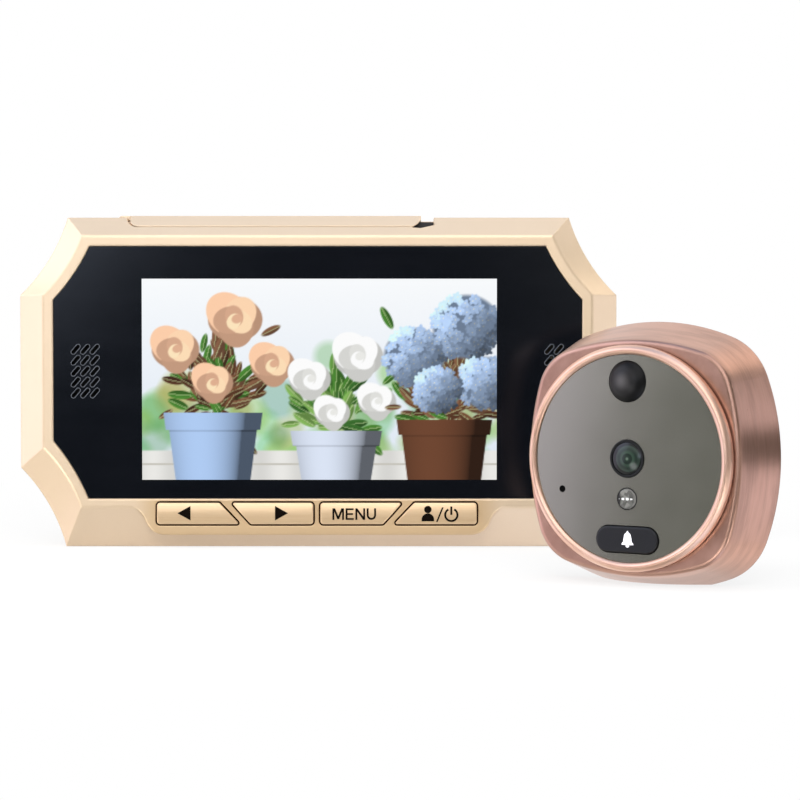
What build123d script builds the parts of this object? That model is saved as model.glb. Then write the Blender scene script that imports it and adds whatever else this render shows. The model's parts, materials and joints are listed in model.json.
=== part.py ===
from build123d import *
import math
import os

# Peephole door camera: an indoor monitor and an outdoor doorbell unit.
# Millimetres. +Z is up, the monitor faces -Y, and the origin is the middle of the face it stands on.

# Depths of the monitor, from its front face to its back
FRONT_Y = -9.0
BEVEL_Y = -3.0
SEAM_Y = 1.0
SHOULDER_Y = 6.5
BACK_Y = 9.0
WALL = 2.0

# Octagon with hollowed corners: half width, bottom, top, corner cuts (across, down) and hollow
OUTER = dict(half=80.5, low=0.0, high=88.8, top_cut=(12.9, 20.9), low_cut=(12.2, 21.3), hollow=1.6)
BAND = dict(half=73.5, low=11.05, high=83.7, top_cut=(10.6, 15.8), low_cut=(10.0, 16.0), hollow=1.1)
GLASS = dict(half=70.7, low=13.45, high=80.8, top_cut=(9.7, 14.2), low_cut=(9.3, 15.35), hollow=0.7)
BACK_INSET = 3.0
EDGE_WIDE, EDGE_DEEP = 0.3, 0.25

# Window and screen
WINDOW_GAP = 0.15
WINDOW_FRONT_Y = -8.8
WINDOW_THICK = 2.0
TAPE_THICK = 0.25
LEDGE_Y = WINDOW_FRONT_Y + WINDOW_THICK + TAPE_THICK
LEDGE_THICK = 1.5
SCREEN_X, SCREEN_Z = 0.45, 45.3
SCREEN_WIDE, SCREEN_HIGH = 95.04, 53.86
MODULE_Z, MODULE_WIDE, MODULE_HIGH = 46.1, 105.5, 64.4

# Sound slots in the window
SLOT_LONG, SLOT_WIDE, SLOT_TILT = 3.2, 1.2, 49.0
SLOT_PITCH_X, SLOT_PITCH_Z = 2.55, 2.93
SLOT_ROWS = 5
SPEAKER_COLUMNS, MIC_COLUMNS = 3, 2
SPEAKER_X, MIC_X, GRILLE_Z, SOUND_HIGH = -62.25, 63.3, 47.5, 16.0

# Raised land that carries the keys, and the keys
LAND_TOP_X, LAND_LOW_X, LAND_LOW_Z, LAND_ROUND = 51.5, 41.0, 3.45, 0.6
KEYPAD_X, KEY_LOW, KEY_HIGH = -0.25, 6.45, 12.2
KEY_END, KEY_MID = 42.85, 0.97
OUTER_KEY_TOP, OUTER_KEY_LOW = 26.15, 20.7
INNER_KEY_TOP, INNER_KEY_LOW = 22.9, 17.7
KEY_ROUND, KEY_TIP_ROUND, KEY_GAP = 0.8, 0.35, 0.4
KEY_PROUD, KEY_CROWN_R = 0.6, 14.0
KEY_WALL = 1.8
KEY_LIP = 0.6
KEY_STEM_X = {"back": -33.0, "forward": -11.0, "menu": 11.0, "power": 33.0}
KEY_BOARD_Y = -1.9

# Port bay and its lid
REBATE_LEFT, LID_LEFT, LID_RIGHT = -51.5, -50.6, 27.7
LID_BACK_Y = 6.0
LID_LOW_Y, LID_LOW_GAP = -6.0, 0.15
LID_PROUD, LID_LIP_PROUD, REBATE = 0.5, 0.06, 0.95
REBATE_ROUND, LID_ROUND = 2.6, 1.9
NOTCH_LEFT, NOTCH_RIGHT, NOTCH_FLOOR_Z, NOTCH_BACK_Y = 25.3, 31.2, 87.8, -1.8
BAY_FRONT_Y, BAY_BACK_Y = -2.7, 5.5
BAY_LEFT, BAY_RIGHT = -54.2, 27.6
BAY_FLOOR_Z = 83.2
PIN_X, PIN_Z, PIN_R = -52.9, 88.2, 0.4
SWITCH_X, USB_X, CARD_X = -36.0, -14.0, 12.0
SWITCH_TRAVEL = 2.0

# Chips on the main board: x, z, width, height, thickness
BOARD_CHIPS = ((30, 50, 14, 14, 1.2), (30, 32, 12, 9, 1.0), (-5, 28, 8, 8, 1.0), (40, 66, 6, 6, 2.4))

# Cable pocket, bracket and its studs at the back
POCKET_Z, POCKET_HALF_X, POCKET_HALF_Z, POCKET_FLOOR_Y, POCKET_WALL = 47.0, 14.0, 11.0, 3.0, 1.5
BRACKET_HALF_X, BRACKET_LOW, BRACKET_HIGH = 45.0, 22.0, 74.0
BRACKET_Y, BRACKET_SHEET, BRACKET_BACK_Y = 9.4, 1.5, 13.2
SLEEVE_R = 7.25
SCREW_SPACING, SCREW_HOLE_R = 40.0, 2.1
STUD_X, STUD_Z = 34.0, (32.0, 60.0)
STUD_SHANK_R, STUD_R, STUD_HEAD_R, LIFT = 1.25, 2.0, 3.5, 8.0

# Case screws
CASE_SCREWS = ((-65.0, 74.0), (65.0, 74.0), (-64.0, 16.5), (64.0, 16.5))
SCREW_R, SCREW_HEAD_R = 1.0, 2.1

# Outdoor unit, in its own frame: face plate at y = 0, facing -Y
UNIT_X, UNIT_Y, UNIT_Z, UNIT_TURN = 73.8, -103.5, 29.3, -33.5
UNIT_FRONT = dict(half=26.9, diagonal=30.6, corner=11.0)
UNIT_BACK = dict(half=31.2, diagonal=34.4, corner=15.0)
UNIT_FRONT_Y, UNIT_BACK_Y = 2.2, 15.0
UNIT_WALL, UNIT_EDGE, UNIT_SCREW = 1.5, 1.2, 19.8
PLATE_R, PLATE_THICK = 23.75, 1.6
RING_R, RING_NECK_R, RING_PROUD = 25.9, 24.9, 0.9
DOME_Z, DOME_R, DOME_PROUD = 17.6, 4.7, 2.0
LENS_R = 4.3
LIGHT_Z, LIGHT_R = -9.2, 2.5
BELL_X, BELL_Z, BELL_HALF, BELL_R, BELL_PROUD = 0.15, -18.5, 7.9, 3.0, 0.6
MIC_HOLE, MIC_HOLE_R = (-16.9, -7.5), 0.8
BOARD_Y, BOARD_THICK, BOARD_R = 8.0, 1.2, 24.4
BACK_PLATE_Y = 13.2
BARREL_R, BARREL_NECK_R, BARREL_LONG, BARREL_BORE_R = 7.0, 7.4, 32.5, 4.8
FOAM_THICK = 1.5


# Planes and plain solids

def upright(y):
    """Plane across the monitor at depth y, seen from the front: first axis +X, second axis +Z."""
    return Plane((0, y, 0), x_dir=(1, 0, 0), z_dir=(0, -1, 0))


def slab(sketch, front, back):
    """Solid of a front-view sketch between two depths."""
    return extrude(upright(back) * sketch, amount=back - front)


def box(x, y, z):
    """Box from three (low, high) pairs."""
    size = [pair[1] - pair[0] for pair in (x, y, z)]
    middle = [(pair[1] + pair[0]) / 2 for pair in (x, y, z)]
    return Pos(*middle) * Box(*size)


def rod(radius, x, z, front, back):
    """Cylinder along Y."""
    return slab(Pos(x, z) * Circle(radius), front, back)


def bar(polygon, left, right):
    """Prism along X of a side-view polygon given as (y, z) points."""
    side = Plane((left, 0, 0), x_dir=(0, 1, 0), z_dir=(1, 0, 0))
    return extrude(side * make_face(Polyline(*polygon, close=True)), amount=right - left)


def turned(profile):
    """Ring or disc about the Y axis from (radius, y) points."""
    half = Plane.XY * make_face(Polyline(*profile, close=True))
    return revolve(half, Axis.Y)


# Octagon outlines

def corners(form, inset=0.0):
    """Eight corners of an octagon, clockwise from the top left, moved inwards by inset."""
    half, low, high = form["half"] - inset, form["low"] + inset, form["high"] - inset

    def pair(cut, level, side):
        across, down = cut
        length = math.hypot(across, down)
        reach = (form["half"] - across) * down / length + side * (form[level]) * across / length - inset
        edge = high if side > 0 else low
        at_edge = (reach - side * edge * across / length) * length / down
        at_side = (reach - half * down / length) * length / across * side
        return (at_edge, edge), (half, at_side)

    top_a, top_b = pair(form["top_cut"], "high", 1)
    low_a, low_b = pair(form["low_cut"], "low", -1)
    right = [top_a, top_b, low_b, low_a]
    left = [(-x, z) for x, z in reversed(right)]
    return left[-1:] + right + left[:-1]


def octagon(form, inset=0.0):
    """Face of an octagon whose four corner sides are hollowed."""
    points = corners(form, inset)
    edges = []
    for i, start in enumerate(points):
        end = points[(i + 1) % len(points)]
        if i % 2 == 0:
            edges.append(Line(start, end))
            continue
        run = math.hypot(end[0] - start[0], end[1] - start[1])
        inward = ((end[1] - start[1]) / run, -(end[0] - start[0]) / run)
        middle = tuple((start[k] + end[k]) / 2 + inward[k] * form["hollow"] for k in (0, 1))
        edges.append(ThreePointArc(start, middle, end))
    return make_face(edges)


def between(first, second, share):
    """Octagon part of the way from the first form to the second."""
    def mix(a, b):
        return a + (b - a) * share
    blend = {}
    for key, value in first.items():
        other = second[key]
        blend[key] = tuple(map(mix, value, other)) if isinstance(value, tuple) else mix(value, other)
    return blend


def bevelled(front_form, front, back_form, back, front_inset=0.0, back_inset=0.0):
    """Solid with flat flanks between two octagons."""
    front_face = upright(front) * octagon(front_form, front_inset)
    back_face = upright(back) * octagon(back_form, back_inset)
    return loft([front_face, back_face], ruled=True)


# Keys

def key_outline(name, grow=0.0):
    """Front view of a key: the outer keys and the inner keys slant towards each other."""
    if name in ("back", "power"):
        end, top, low, tip = KEY_END, OUTER_KEY_TOP, OUTER_KEY_LOW, OUTER_KEY_LOW
    else:
        end, top, low, tip = KEY_MID, INNER_KEY_TOP, INNER_KEY_LOW, INNER_KEY_TOP
    side = -1 if name in ("back", "forward") else 1
    points = [(side * end, KEY_LOW), (side * end, KEY_HIGH), (side * top, KEY_HIGH), (side * low, KEY_LOW)]
    face = make_face(Polyline(*points, close=True))
    blunt = [vertex for vertex in face.vertices() if abs(vertex.X) != tip]
    face = fillet(blunt, KEY_ROUND)
    face = fillet([vertex for vertex in face.vertices() if abs(vertex.X) == tip], KEY_TIP_ROUND)
    return Pos(KEYPAD_X, 0) * (offset(face, grow) if grow else face)


def key_lip(name, grow=0.0):
    """Lip behind the bezel that keeps a key in, along its lower edge only."""
    if name in ("back", "power"):
        ends = (OUTER_KEY_LOW, KEY_END - 1.7)
    else:
        ends = (KEY_MID + 0.6, INNER_KEY_LOW - 0.4)
    side = -1 if name in ("back", "forward") else 1
    wide, high = ends[1] - ends[0] + 2 * grow, 3.0 + 2 * grow
    middle = KEYPAD_X + side * (ends[0] + ends[1]) / 2
    return Pos(middle, KEY_LOW - KEY_LIP + 1.5) * Rectangle(wide, high)


def key_cap(name):
    """Plated cap with a front crowned from its lower to its upper edge."""
    back = FRONT_Y + KEY_WALL + 0.1
    cap = slab(key_outline(name), FRONT_Y - KEY_PROUD - 1, back + 0.8)
    middle = (KEY_LOW + KEY_HIGH) / 2
    roll = Rot(0, 90, 0) * Cylinder(KEY_CROWN_R, 2 * KEY_END + 10)
    cap &= Pos(0, FRONT_Y - KEY_PROUD + KEY_CROWN_R, middle) * roll
    crown = cap.faces().filter_by(GeomType.CYLINDER).sort_by(SortBy.AREA)[-1]
    cap = fillet(crown.edges(), 0.15)
    return cap + slab(key_lip(name), back, back + 0.8)


def key_stem(name):
    """Foot glued to the cap and a pin that reaches for the switch."""
    x, z = KEY_STEM_X[name], (KEY_LOW + KEY_HIGH) / 2
    start = FRONT_Y + KEY_WALL + 0.9
    foot = slab(Pos(x, z) * RectangleRounded(7.0, 4.4, 0.8), start, start + 0.6)
    return foot + rod(1.3, x, z, start + 0.6, start + 1.35)


# Monitor casing

def land():
    """Raised land under the keys: the front face carried down over the bevel, between two S-curves."""
    middle = ((LAND_TOP_X + LAND_LOW_X) / 2, (BAND["low"] + LAND_LOW_Z) / 2)
    top, low = (LAND_TOP_X, BAND["low"]), (LAND_LOW_X, LAND_LOW_Z)
    right = [TangentArc(top, middle, tangent=(-1, 0)), TangentArc(low, middle, tangent=(1, 0))]
    left = [mirror(edge, Plane.YZ) for edge in right]
    level = BAND["low"] + 3.0
    frame = [
        Line(top, (LAND_TOP_X, level)),
        Line((LAND_TOP_X, level), (-LAND_TOP_X, level)),
        Line((-LAND_TOP_X, level), (-LAND_TOP_X, BAND["low"])),
        Line(low, (-LAND_LOW_X, LAND_LOW_Z)),
    ]
    block = slab(make_face(right + left + frame), FRONT_Y, LEDGE_Y + LEDGE_THICK)
    rim = [edge for edge in block.faces().sort_by(Axis.Y)[0].edges() if edge.center().Z < BAND["low"]]
    return fillet(rim, LAND_ROUND)


def lid_line(offset_out, rise=None, gap=0.0):
    """Low end and bend (y, z) of the lid's path, moved outwards, the top by rise."""
    run = (BEVEL_Y - FRONT_Y, OUTER["high"] - BAND["high"])
    length = math.hypot(*run)
    normal = (-run[1] / length, run[0] / length)
    low_y = LID_LOW_Y + gap
    low_z = OUTER["high"] - (BEVEL_Y - low_y) * run[1] / run[0]
    low = (low_y + normal[0] * offset_out, low_z + normal[1] * offset_out)
    top_z = OUTER["high"] + (offset_out if rise is None else rise)
    return low, (low[0] + (top_z - low[1]) * run[0] / run[1], top_z)


def lip_corner(left, radius, gap=0.0):
    """Front view of what a lip's rounded lower left corner leaves out."""
    low = lid_line(0.0, gap=gap)[0][1]
    square = Pos(left + radius / 2, low + radius / 2 - 1) * Rectangle(radius, radius + 2)
    return square - Pos(left + radius, low + radius) * Circle(radius)


def rebate():
    """Cut for the lid, the bay under it and the nail notch at its right end."""
    low, bend = lid_line(-REBATE)
    out, _ = lid_line(3.0)
    back = LID_BACK_Y + 0.1
    polygon = [low, bend, (back, bend[1]), (back, 95.0), (out[0], 95.0), out]
    cut = bar(polygon, REBATE_LEFT, LID_RIGHT + 0.1)
    cut -= slab(lip_corner(REBATE_LEFT, REBATE_ROUND), -12.0, BEVEL_Y)
    cut += box((BAY_LEFT, BAY_RIGHT), (BAY_FRONT_Y, BAY_BACK_Y), (BAY_FLOOR_Z - 0.9, 95.0))
    low_edge = [(NOTCH_LEFT, 86.05), (LID_RIGHT - 0.1, 85.85), (NOTCH_RIGHT, 86.7)]
    notch = make_face(Polyline(*low_edge, (NOTCH_RIGHT, 95.0), (NOTCH_LEFT, 95.0), close=True))
    cut += slab(notch, -12.0, NOTCH_BACK_Y)
    return cut + box((LID_RIGHT, NOTCH_RIGHT), (NOTCH_BACK_Y - 1, BACK_Y + 1), (NOTCH_FLOOR_Z, 95.0))


def slots(x, columns, grow=0.0):
    """Sloping sound slots, columns across and rows down."""
    found = []
    for column in range(columns):
        for row in range(SLOT_ROWS):
            u = x + (column - (columns - 1) / 2) * SLOT_PITCH_X
            v = GRILLE_Z + (row - (SLOT_ROWS - 1) / 2) * SLOT_PITCH_Z
            slot = SlotOverall(SLOT_LONG + grow, SLOT_WIDE + grow)
            found.append(Pos(u, v) * Rot(0, 0, SLOT_TILT) * slot)
    return Sketch() + found


def make_front_bezel():
    """Bevelled frame with the window's recess, a ledge, the key openings and four screw bosses."""
    broken = between(BAND, OUTER, EDGE_DEEP / (BEVEL_Y - FRONT_Y))
    body = bevelled(BAND, FRONT_Y, broken, FRONT_Y + EDGE_DEEP, EDGE_WIDE)
    body += bevelled(broken, FRONT_Y + EDGE_DEEP, OUTER, BEVEL_Y)
    body += slab(octagon(OUTER), BEVEL_Y, SEAM_Y)
    body += land()
    body -= slab(octagon(GLASS, -WINDOW_GAP), FRONT_Y - 1, LEDGE_Y)
    body -= bevelled(GLASS, FRONT_Y, GLASS, FRONT_Y + EDGE_DEEP, -WINDOW_GAP - EDGE_DEEP, -WINDOW_GAP)
    ledge_back = LEDGE_Y + LEDGE_THICK
    share = (ledge_back - FRONT_Y) / (BEVEL_Y - FRONT_Y)
    body -= bevelled(between(BAND, OUTER, share), ledge_back, OUTER, BEVEL_Y, WALL, WALL)
    body -= slab(octagon(OUTER, WALL), BEVEL_Y, SEAM_Y + 1)
    screen = Pos(SCREEN_X, MODULE_Z) * Rectangle(MODULE_WIDE + 0.8, MODULE_HIGH + 0.8)
    body -= slab(screen, LEDGE_Y - 1, ledge_back + 1)
    for x, wide in ((SPEAKER_X, 9.0), (MIC_X, 6.4)):
        sound = Pos(x, GRILLE_Z) * RectangleRounded(wide, SOUND_HIGH, 1.0)
        body -= slab(sound, LEDGE_Y - 1, ledge_back + 1)
    for name in KEY_STEM_X:
        body -= slab(key_outline(name, KEY_GAP), FRONT_Y - 1, ledge_back + 1)
        body -= slab(key_lip(name, 0.25), FRONT_Y + KEY_WALL, ledge_back + 1)
    for x, z in CASE_SCREWS:
        body += rod(3.0, x, z, ledge_back - 0.1, SEAM_Y)
        body -= rod(SCREW_R + 0.05, x, z, -3.5, SEAM_Y + 1)
    body -= rebate()
    return body - rod(PIN_R, PIN_X, PIN_Z, BAY_FRONT_Y - 0.3, BAY_FRONT_Y + 1)


def make_window_panel():
    """Black acrylic panel with slots for the speaker and the microphone."""
    panel = slab(octagon(GLASS), WINDOW_FRONT_Y, WINDOW_FRONT_Y + WINDOW_THICK)
    holes = slots(SPEAKER_X, SPEAKER_COLUMNS) + slots(MIC_X, MIC_COLUMNS)
    return panel - slab(holes, WINDOW_FRONT_Y - 1, WINDOW_FRONT_Y + WINDOW_THICK + 1)


def make_window_tape():
    """Adhesive frame between the window and the ledge."""
    start = WINDOW_FRONT_Y + WINDOW_THICK
    tape = slab(octagon(GLASS, 0.4), start, start + TAPE_THICK)
    holes = Pos(SCREEN_X, SCREEN_Z) * Rectangle(SCREEN_WIDE + 2, SCREEN_HIGH + 2)
    holes += Pos(SPEAKER_X, GRILLE_Z) * Rectangle(10.0, SOUND_HIGH + 1)
    holes += Pos(MIC_X, GRILLE_Z) * Rectangle(8.0, SOUND_HIGH + 1)
    return tape - slab(holes, start - 1, start + 1)


def pocket(grow=0.0):
    """Outline of the cable pocket."""
    return Pos(0, POCKET_Z) * Rectangle(2 * (POCKET_HALF_X + grow), 2 * (POCKET_HALF_Z + grow))


def make_cable_cup():
    """Open cup let into the rear cover, with a slot in its floor and a flange behind the wall."""
    cup = slab(pocket(POCKET_WALL), POCKET_FLOOR_Y - POCKET_WALL, BACK_Y)
    cup += slab(pocket(2 * POCKET_WALL), BACK_Y - WALL - 1.2, BACK_Y - WALL)
    cup -= slab(pocket(), POCKET_FLOOR_Y, BACK_Y + 1)
    return cup - slab(Pos(0, POCKET_Z) * Rectangle(19.0, 6.4), 0.0, POCKET_FLOOR_Y + 1)


def make_rear_cover():
    """Rear shell with an opening for the cable cup, screw posts and holes for the bracket studs."""
    body = slab(octagon(OUTER), SEAM_Y, SHOULDER_Y)
    body += bevelled(OUTER, SHOULDER_Y, OUTER, BACK_Y, 0.0, BACK_INSET)
    inner = BACK_Y - WALL
    body -= slab(octagon(OUTER, WALL), SEAM_Y - 1, SHOULDER_Y - 0.5)
    body -= bevelled(OUTER, SHOULDER_Y - 0.5, OUTER, inner, WALL, WALL + 0.8)
    body -= slab(pocket(POCKET_WALL), inner - 1, BACK_Y + 1)
    for x, z in CASE_SCREWS:
        body += rod(3.4, x, z, SEAM_Y, BACK_Y - 1)
        body -= rod(SCREW_HEAD_R + 0.3, x, z, 6.2, BACK_Y + 1)
        body -= rod(SCREW_R + 0.15, x, z, SEAM_Y - 1, BACK_Y)
    for x in (-STUD_X, STUD_X):
        for z in STUD_Z:
            body -= rod(STUD_SHANK_R, x, z, inner - 1, BACK_Y + 1)
    body -= rebate()
    return body - rod(PIN_R, PIN_X, PIN_Z, BAY_BACK_Y - 1, LID_BACK_Y)


# Under the lid

def make_port_tray():
    """Open tray that forms the floor and walls of the port bay."""
    top, floor = OUTER["high"] - WALL - 0.7, BAY_FLOOR_Z - 1.0
    tray = box((BAY_LEFT - 1, BAY_RIGHT + 1), (BAY_FRONT_Y - 1, BAY_BACK_Y + 1), (floor, top))
    tray -= box((BAY_LEFT, BAY_RIGHT), (BAY_FRONT_Y, BAY_BACK_Y), (BAY_FLOOR_Z, top + 1))
    tray -= box((USB_X - 4.0, USB_X + 4.0), (-1.25, 2.15), (floor - 1, BAY_FLOOR_Z + 1))
    tray -= box((CARD_X - 5.8, CARD_X + 5.8), (-0.7, 0.8), (floor - 1, BAY_FLOOR_Z + 1))
    ear_depth = (BAY_FRONT_Y - 0.2, NOTCH_BACK_Y - 0.1)
    tray += box((NOTCH_LEFT + 0.1, NOTCH_RIGHT - 0.2), ear_depth, (BAY_FLOOR_Z, NOTCH_FLOOR_Z - 0.2))
    reach = 1.8
    switch_slot = (SWITCH_X - reach, SWITCH_X + reach + SWITCH_TRAVEL)
    return tray - box(switch_slot, (0.0, 2.2), (floor - 1, BAY_FLOOR_Z + 1))


def make_port_lid():
    """Lid that follows the bevel and the top, with a rolled end around its pin."""
    low_out, bend_out = lid_line(LID_LIP_PROUD, LID_PROUD, LID_LOW_GAP)
    low_in, bend_in = lid_line(0.1 - REBATE, gap=LID_LOW_GAP)
    back = LID_BACK_Y - 0.05
    polygon = [low_out, bend_out, (back, bend_out[1]), (back, bend_in[1]), bend_in, low_in]
    lid = bar(polygon, LID_LEFT, LID_RIGHT)
    lid -= slab(lip_corner(LID_LEFT, LID_ROUND, LID_LOW_GAP), -12.0, BEVEL_Y + 0.2)
    tail = (BAY_FRONT_Y + 0.25, BAY_BACK_Y - 0.25)
    lid += box((PIN_X, LID_LEFT + 1), tail, (bend_in[1], bend_out[1]))
    lid += rod(bend_out[1] - PIN_Z, PIN_X, PIN_Z, *tail)
    nail_edge = [(NOTCH_LEFT, 86.05), (26.8, 87.05), (LID_RIGHT, 88.1)]
    clipped = Polyline((NOTCH_LEFT, 80), *nail_edge, (LID_RIGHT, 92), (40, 92), (40, 80), close=True)
    lid -= slab(make_face(clipped), -12.0, bend_in[0])
    return lid - rod(PIN_R + 0.05, PIN_X, PIN_Z, tail[0] - 1, tail[1] + 1)


def make_lid_pin():
    """Steel pin of the lid."""
    return rod(PIN_R, PIN_X, PIN_Z, BAY_FRONT_Y - 0.3, LID_BACK_Y)


def make_power_switch_body():
    """Slide switch housing on the main board."""
    return box((SWITCH_X - 4.4, SWITCH_X + 4.4), (-1.0, 3.0), (78.4, 81.9)) - box(
        (SWITCH_X - 2.0, SWITCH_X + 4.0), (0.1, 2.0), (80.9, 82.5))


def make_power_switch_slider():
    """Slider knob: foot in the housing and a ribbed finger above the tray's floor."""
    foot = box((SWITCH_X - 1.4, SWITCH_X + 1.4), (0.4, 1.8), (81.1, 83.4))
    finger = box((SWITCH_X - 1.4, SWITCH_X + 1.4), (0.2, 2.0), (83.4, 85.2))
    for step in (-0.8, 0.0, 0.8):
        finger -= box((SWITCH_X + step - 0.15, SWITCH_X + step + 0.15), (0.0, 2.2), (84.9, 85.5))
    return foot + finger


def make_usb_socket():
    """Charging socket: a drawn metal shell with a tongue, its mouth level with the tray's floor."""
    outline = make_face(Polyline((-3.75, -0.4), (-3.75, 1.45), (3.75, 1.45), (3.75, -0.4), (2.75, -1.45),
                                 (-2.75, -1.45), close=True))
    place = Pos(USB_X, 0.45, 77.6)
    shell = extrude(place * outline, amount=BAY_FLOOR_Z - 77.6)
    hollow = extrude(place * Pos(0, 0, 1.0) * offset(outline, -0.3, kind=Kind.INTERSECTION), amount=6.0)
    tongue = box((USB_X - 2.4, USB_X + 2.4), (0.6, 1.2), (78.4, 82.6))
    return shell - hollow + tongue


def make_card_slot():
    """Memory card holder on the main board."""
    holder = box((CARD_X - 6.8, CARD_X + 6.8), (-1.0, 1.3), (67.8, 82.0))
    return holder - box((CARD_X - 5.7, CARD_X + 5.7), (-0.5, 0.65), (68.4, 83.0))


def make_memory_card():
    """Small memory card with its clipped corner and finger ridge."""
    rim = [(-5.5, 0), (5.5, 0), (5.5, 15.0), (-4.3, 15.0), (-5.5, 13.2)]
    outline = make_face(Polyline(*rim, close=True))
    side = Plane((CARD_X, 0.45, 69.3), x_dir=(1, 0, 0), z_dir=(0, -1, 0))
    card = extrude(side * outline, amount=0.7)
    return card + box((CARD_X - 4.6, CARD_X + 4.6), (0.4, 0.6), (83.55, 84.2))


# Inside the monitor

def make_lcd_frame():
    """Pressed steel frame around the screen module."""
    module = Pos(SCREEN_X, MODULE_Z) * Rectangle(MODULE_WIDE, MODULE_HIGH)
    frame = slab(module, LEDGE_Y, LEDGE_Y + 2.9)
    window = Pos(SCREEN_X, SCREEN_Z) * Rectangle(SCREEN_WIDE + 2.4, SCREEN_HIGH + 2.4)
    frame -= slab(window, LEDGE_Y - 1, LEDGE_Y + 1)
    return frame - slab(offset(module, -0.3, kind=Kind.INTERSECTION), LEDGE_Y + 0.3, LEDGE_Y + 4)


def make_lcd_panel():
    """Glass of the screen, a little larger than the picture."""
    glass = Pos(SCREEN_X, MODULE_Z) * Rectangle(MODULE_WIDE - 2, MODULE_HIGH - 2)
    picture = Pos(SCREEN_X, SCREEN_Z) * Rectangle(SCREEN_WIDE, SCREEN_HIGH)
    start = LEDGE_Y + 0.35
    return slab(glass, start, start + 1.0) + slab(picture, start - 0.2, start)


def make_backlight_unit():
    """Light guide and its tray behind the glass."""
    start = LEDGE_Y + 1.4
    outline = Pos(SCREEN_X, MODULE_Z) * Rectangle(MODULE_WIDE - 1, MODULE_HIGH - 1)
    return slab(outline, start, start + 1.4)


def make_main_board():
    """Main board with its processor, memory, charger and coil."""
    board = box((-54.0, 50.0), (-2.2, -1.0), (20.0, 81.6))
    for x, z, wide, high, thick in BOARD_CHIPS:
        board += box((x - wide / 2, x + wide / 2), (-1.0, -1.0 + thick), (z - high / 2, z + high / 2))
    return board


def make_key_board():
    """Strip of board behind the keys."""
    return box((-46.0, 46.0), (KEY_BOARD_Y, KEY_BOARD_Y + 1.0), (5.6, 13.4))


def make_key_switches():
    """Four click switches, one behind each key."""
    middle, half = (KEY_LOW + KEY_HIGH) / 2, 2.25
    found = []
    for x in KEY_STEM_X.values():
        body = box((x - half, x + half), (KEY_BOARD_Y - 1.8, KEY_BOARD_Y), (middle - half, middle + half))
        found.append(body + rod(1.0, x, middle, KEY_BOARD_Y - 2.35, KEY_BOARD_Y - 1.8))
    return [one.solid() for one in found]


def make_speaker():
    """Flat loudspeaker with a raised cone."""
    start = LEDGE_Y + LEDGE_THICK + 0.55
    body = slab(Pos(SPEAKER_X, GRILLE_Z) * RectangleRounded(9.8, 19.0, 1.6), start, start + 3.6)
    cone = Pos(SPEAKER_X, GRILLE_Z) * SlotOverall(13.0, 6.4, rotation=90)
    return body + slab(cone, start - 0.4, start)


def make_speaker_gasket():
    """Foam frame between the speaker and the ledge."""
    start = LEDGE_Y + LEDGE_THICK
    ring = Pos(SPEAKER_X, GRILLE_Z) * (Rectangle(9.8, 19.0) - Rectangle(7.6, 15.4))
    return slab(ring, start, start + 0.55)


def make_microphone():
    """Microphone capsule of the monitor."""
    return rod(2.0, MIC_X, GRILLE_Z, -3.4, -1.9)


def make_microphone_boot():
    """Rubber boot that holds the capsule behind its slots."""
    boot = rod(3.1, MIC_X, GRILLE_Z, LEDGE_Y + LEDGE_THICK, -1.4)
    return boot - rod(2.0, MIC_X, GRILLE_Z, -3.4, -1.9) - rod(1.0, MIC_X, GRILLE_Z, -6.0, -3.4)


def make_battery_pack():
    """Flat lithium cell with its protection strip."""
    cell = box((-53.0, -18.0), (-0.4, 5.2), (23.0, 70.0))
    cell = fillet(cell.edges().filter_by(Axis.Z), 1.2)
    return cell + box((-50.0, -21.0), (0.4, 4.4), (70.0, 73.0))


def make_battery_foam():
    """Foam pad between the cell and the rear cover."""
    return box((-50.0, -21.0), (5.2, BACK_Y - WALL), (26.0, 66.0))


def make_case_screws():
    """Four screws that hold the rear cover."""
    found = []
    for x, z in CASE_SCREWS:
        screw = rod(SCREW_HEAD_R, x, z, 6.2, 7.6) + rod(SCREW_R, x, z, -3.0, 6.2)
        cross = Pos(x, z) * (Rectangle(2.4, 0.5) + Rectangle(0.5, 2.4))
        found.append(screw - slab(cross, 6.9, 8.0))
    return [one.solid() for one in found]


def make_cable_socket():
    """Ribbon cable socket, reached through the floor of the cable pocket."""
    socket = box((-8.5, 8.5), (-1.0, 1.2), (POCKET_Z - 2.6, POCKET_Z + 2.6))
    mouth = box((-7.2, 7.2), (-0.2, 0.5), (POCKET_Z - 2.2, POCKET_Z + 3.0))
    return socket - mouth


def make_bracket_studs():
    """Four shouldered studs on which the bracket hangs."""
    head_y = BRACKET_Y + BRACKET_SHEET + 0.4
    found = []
    for x in (-STUD_X, STUD_X):
        for z in STUD_Z:
            shank = rod(STUD_SHANK_R, x, z, BACK_Y - 1.6, BACK_Y)
            neck = rod(STUD_R, x, z, BACK_Y, head_y)
            found.append(shank + neck + rod(STUD_HEAD_R, x, z, head_y, head_y + 1.1))
    return [one.solid() for one in found]


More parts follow.
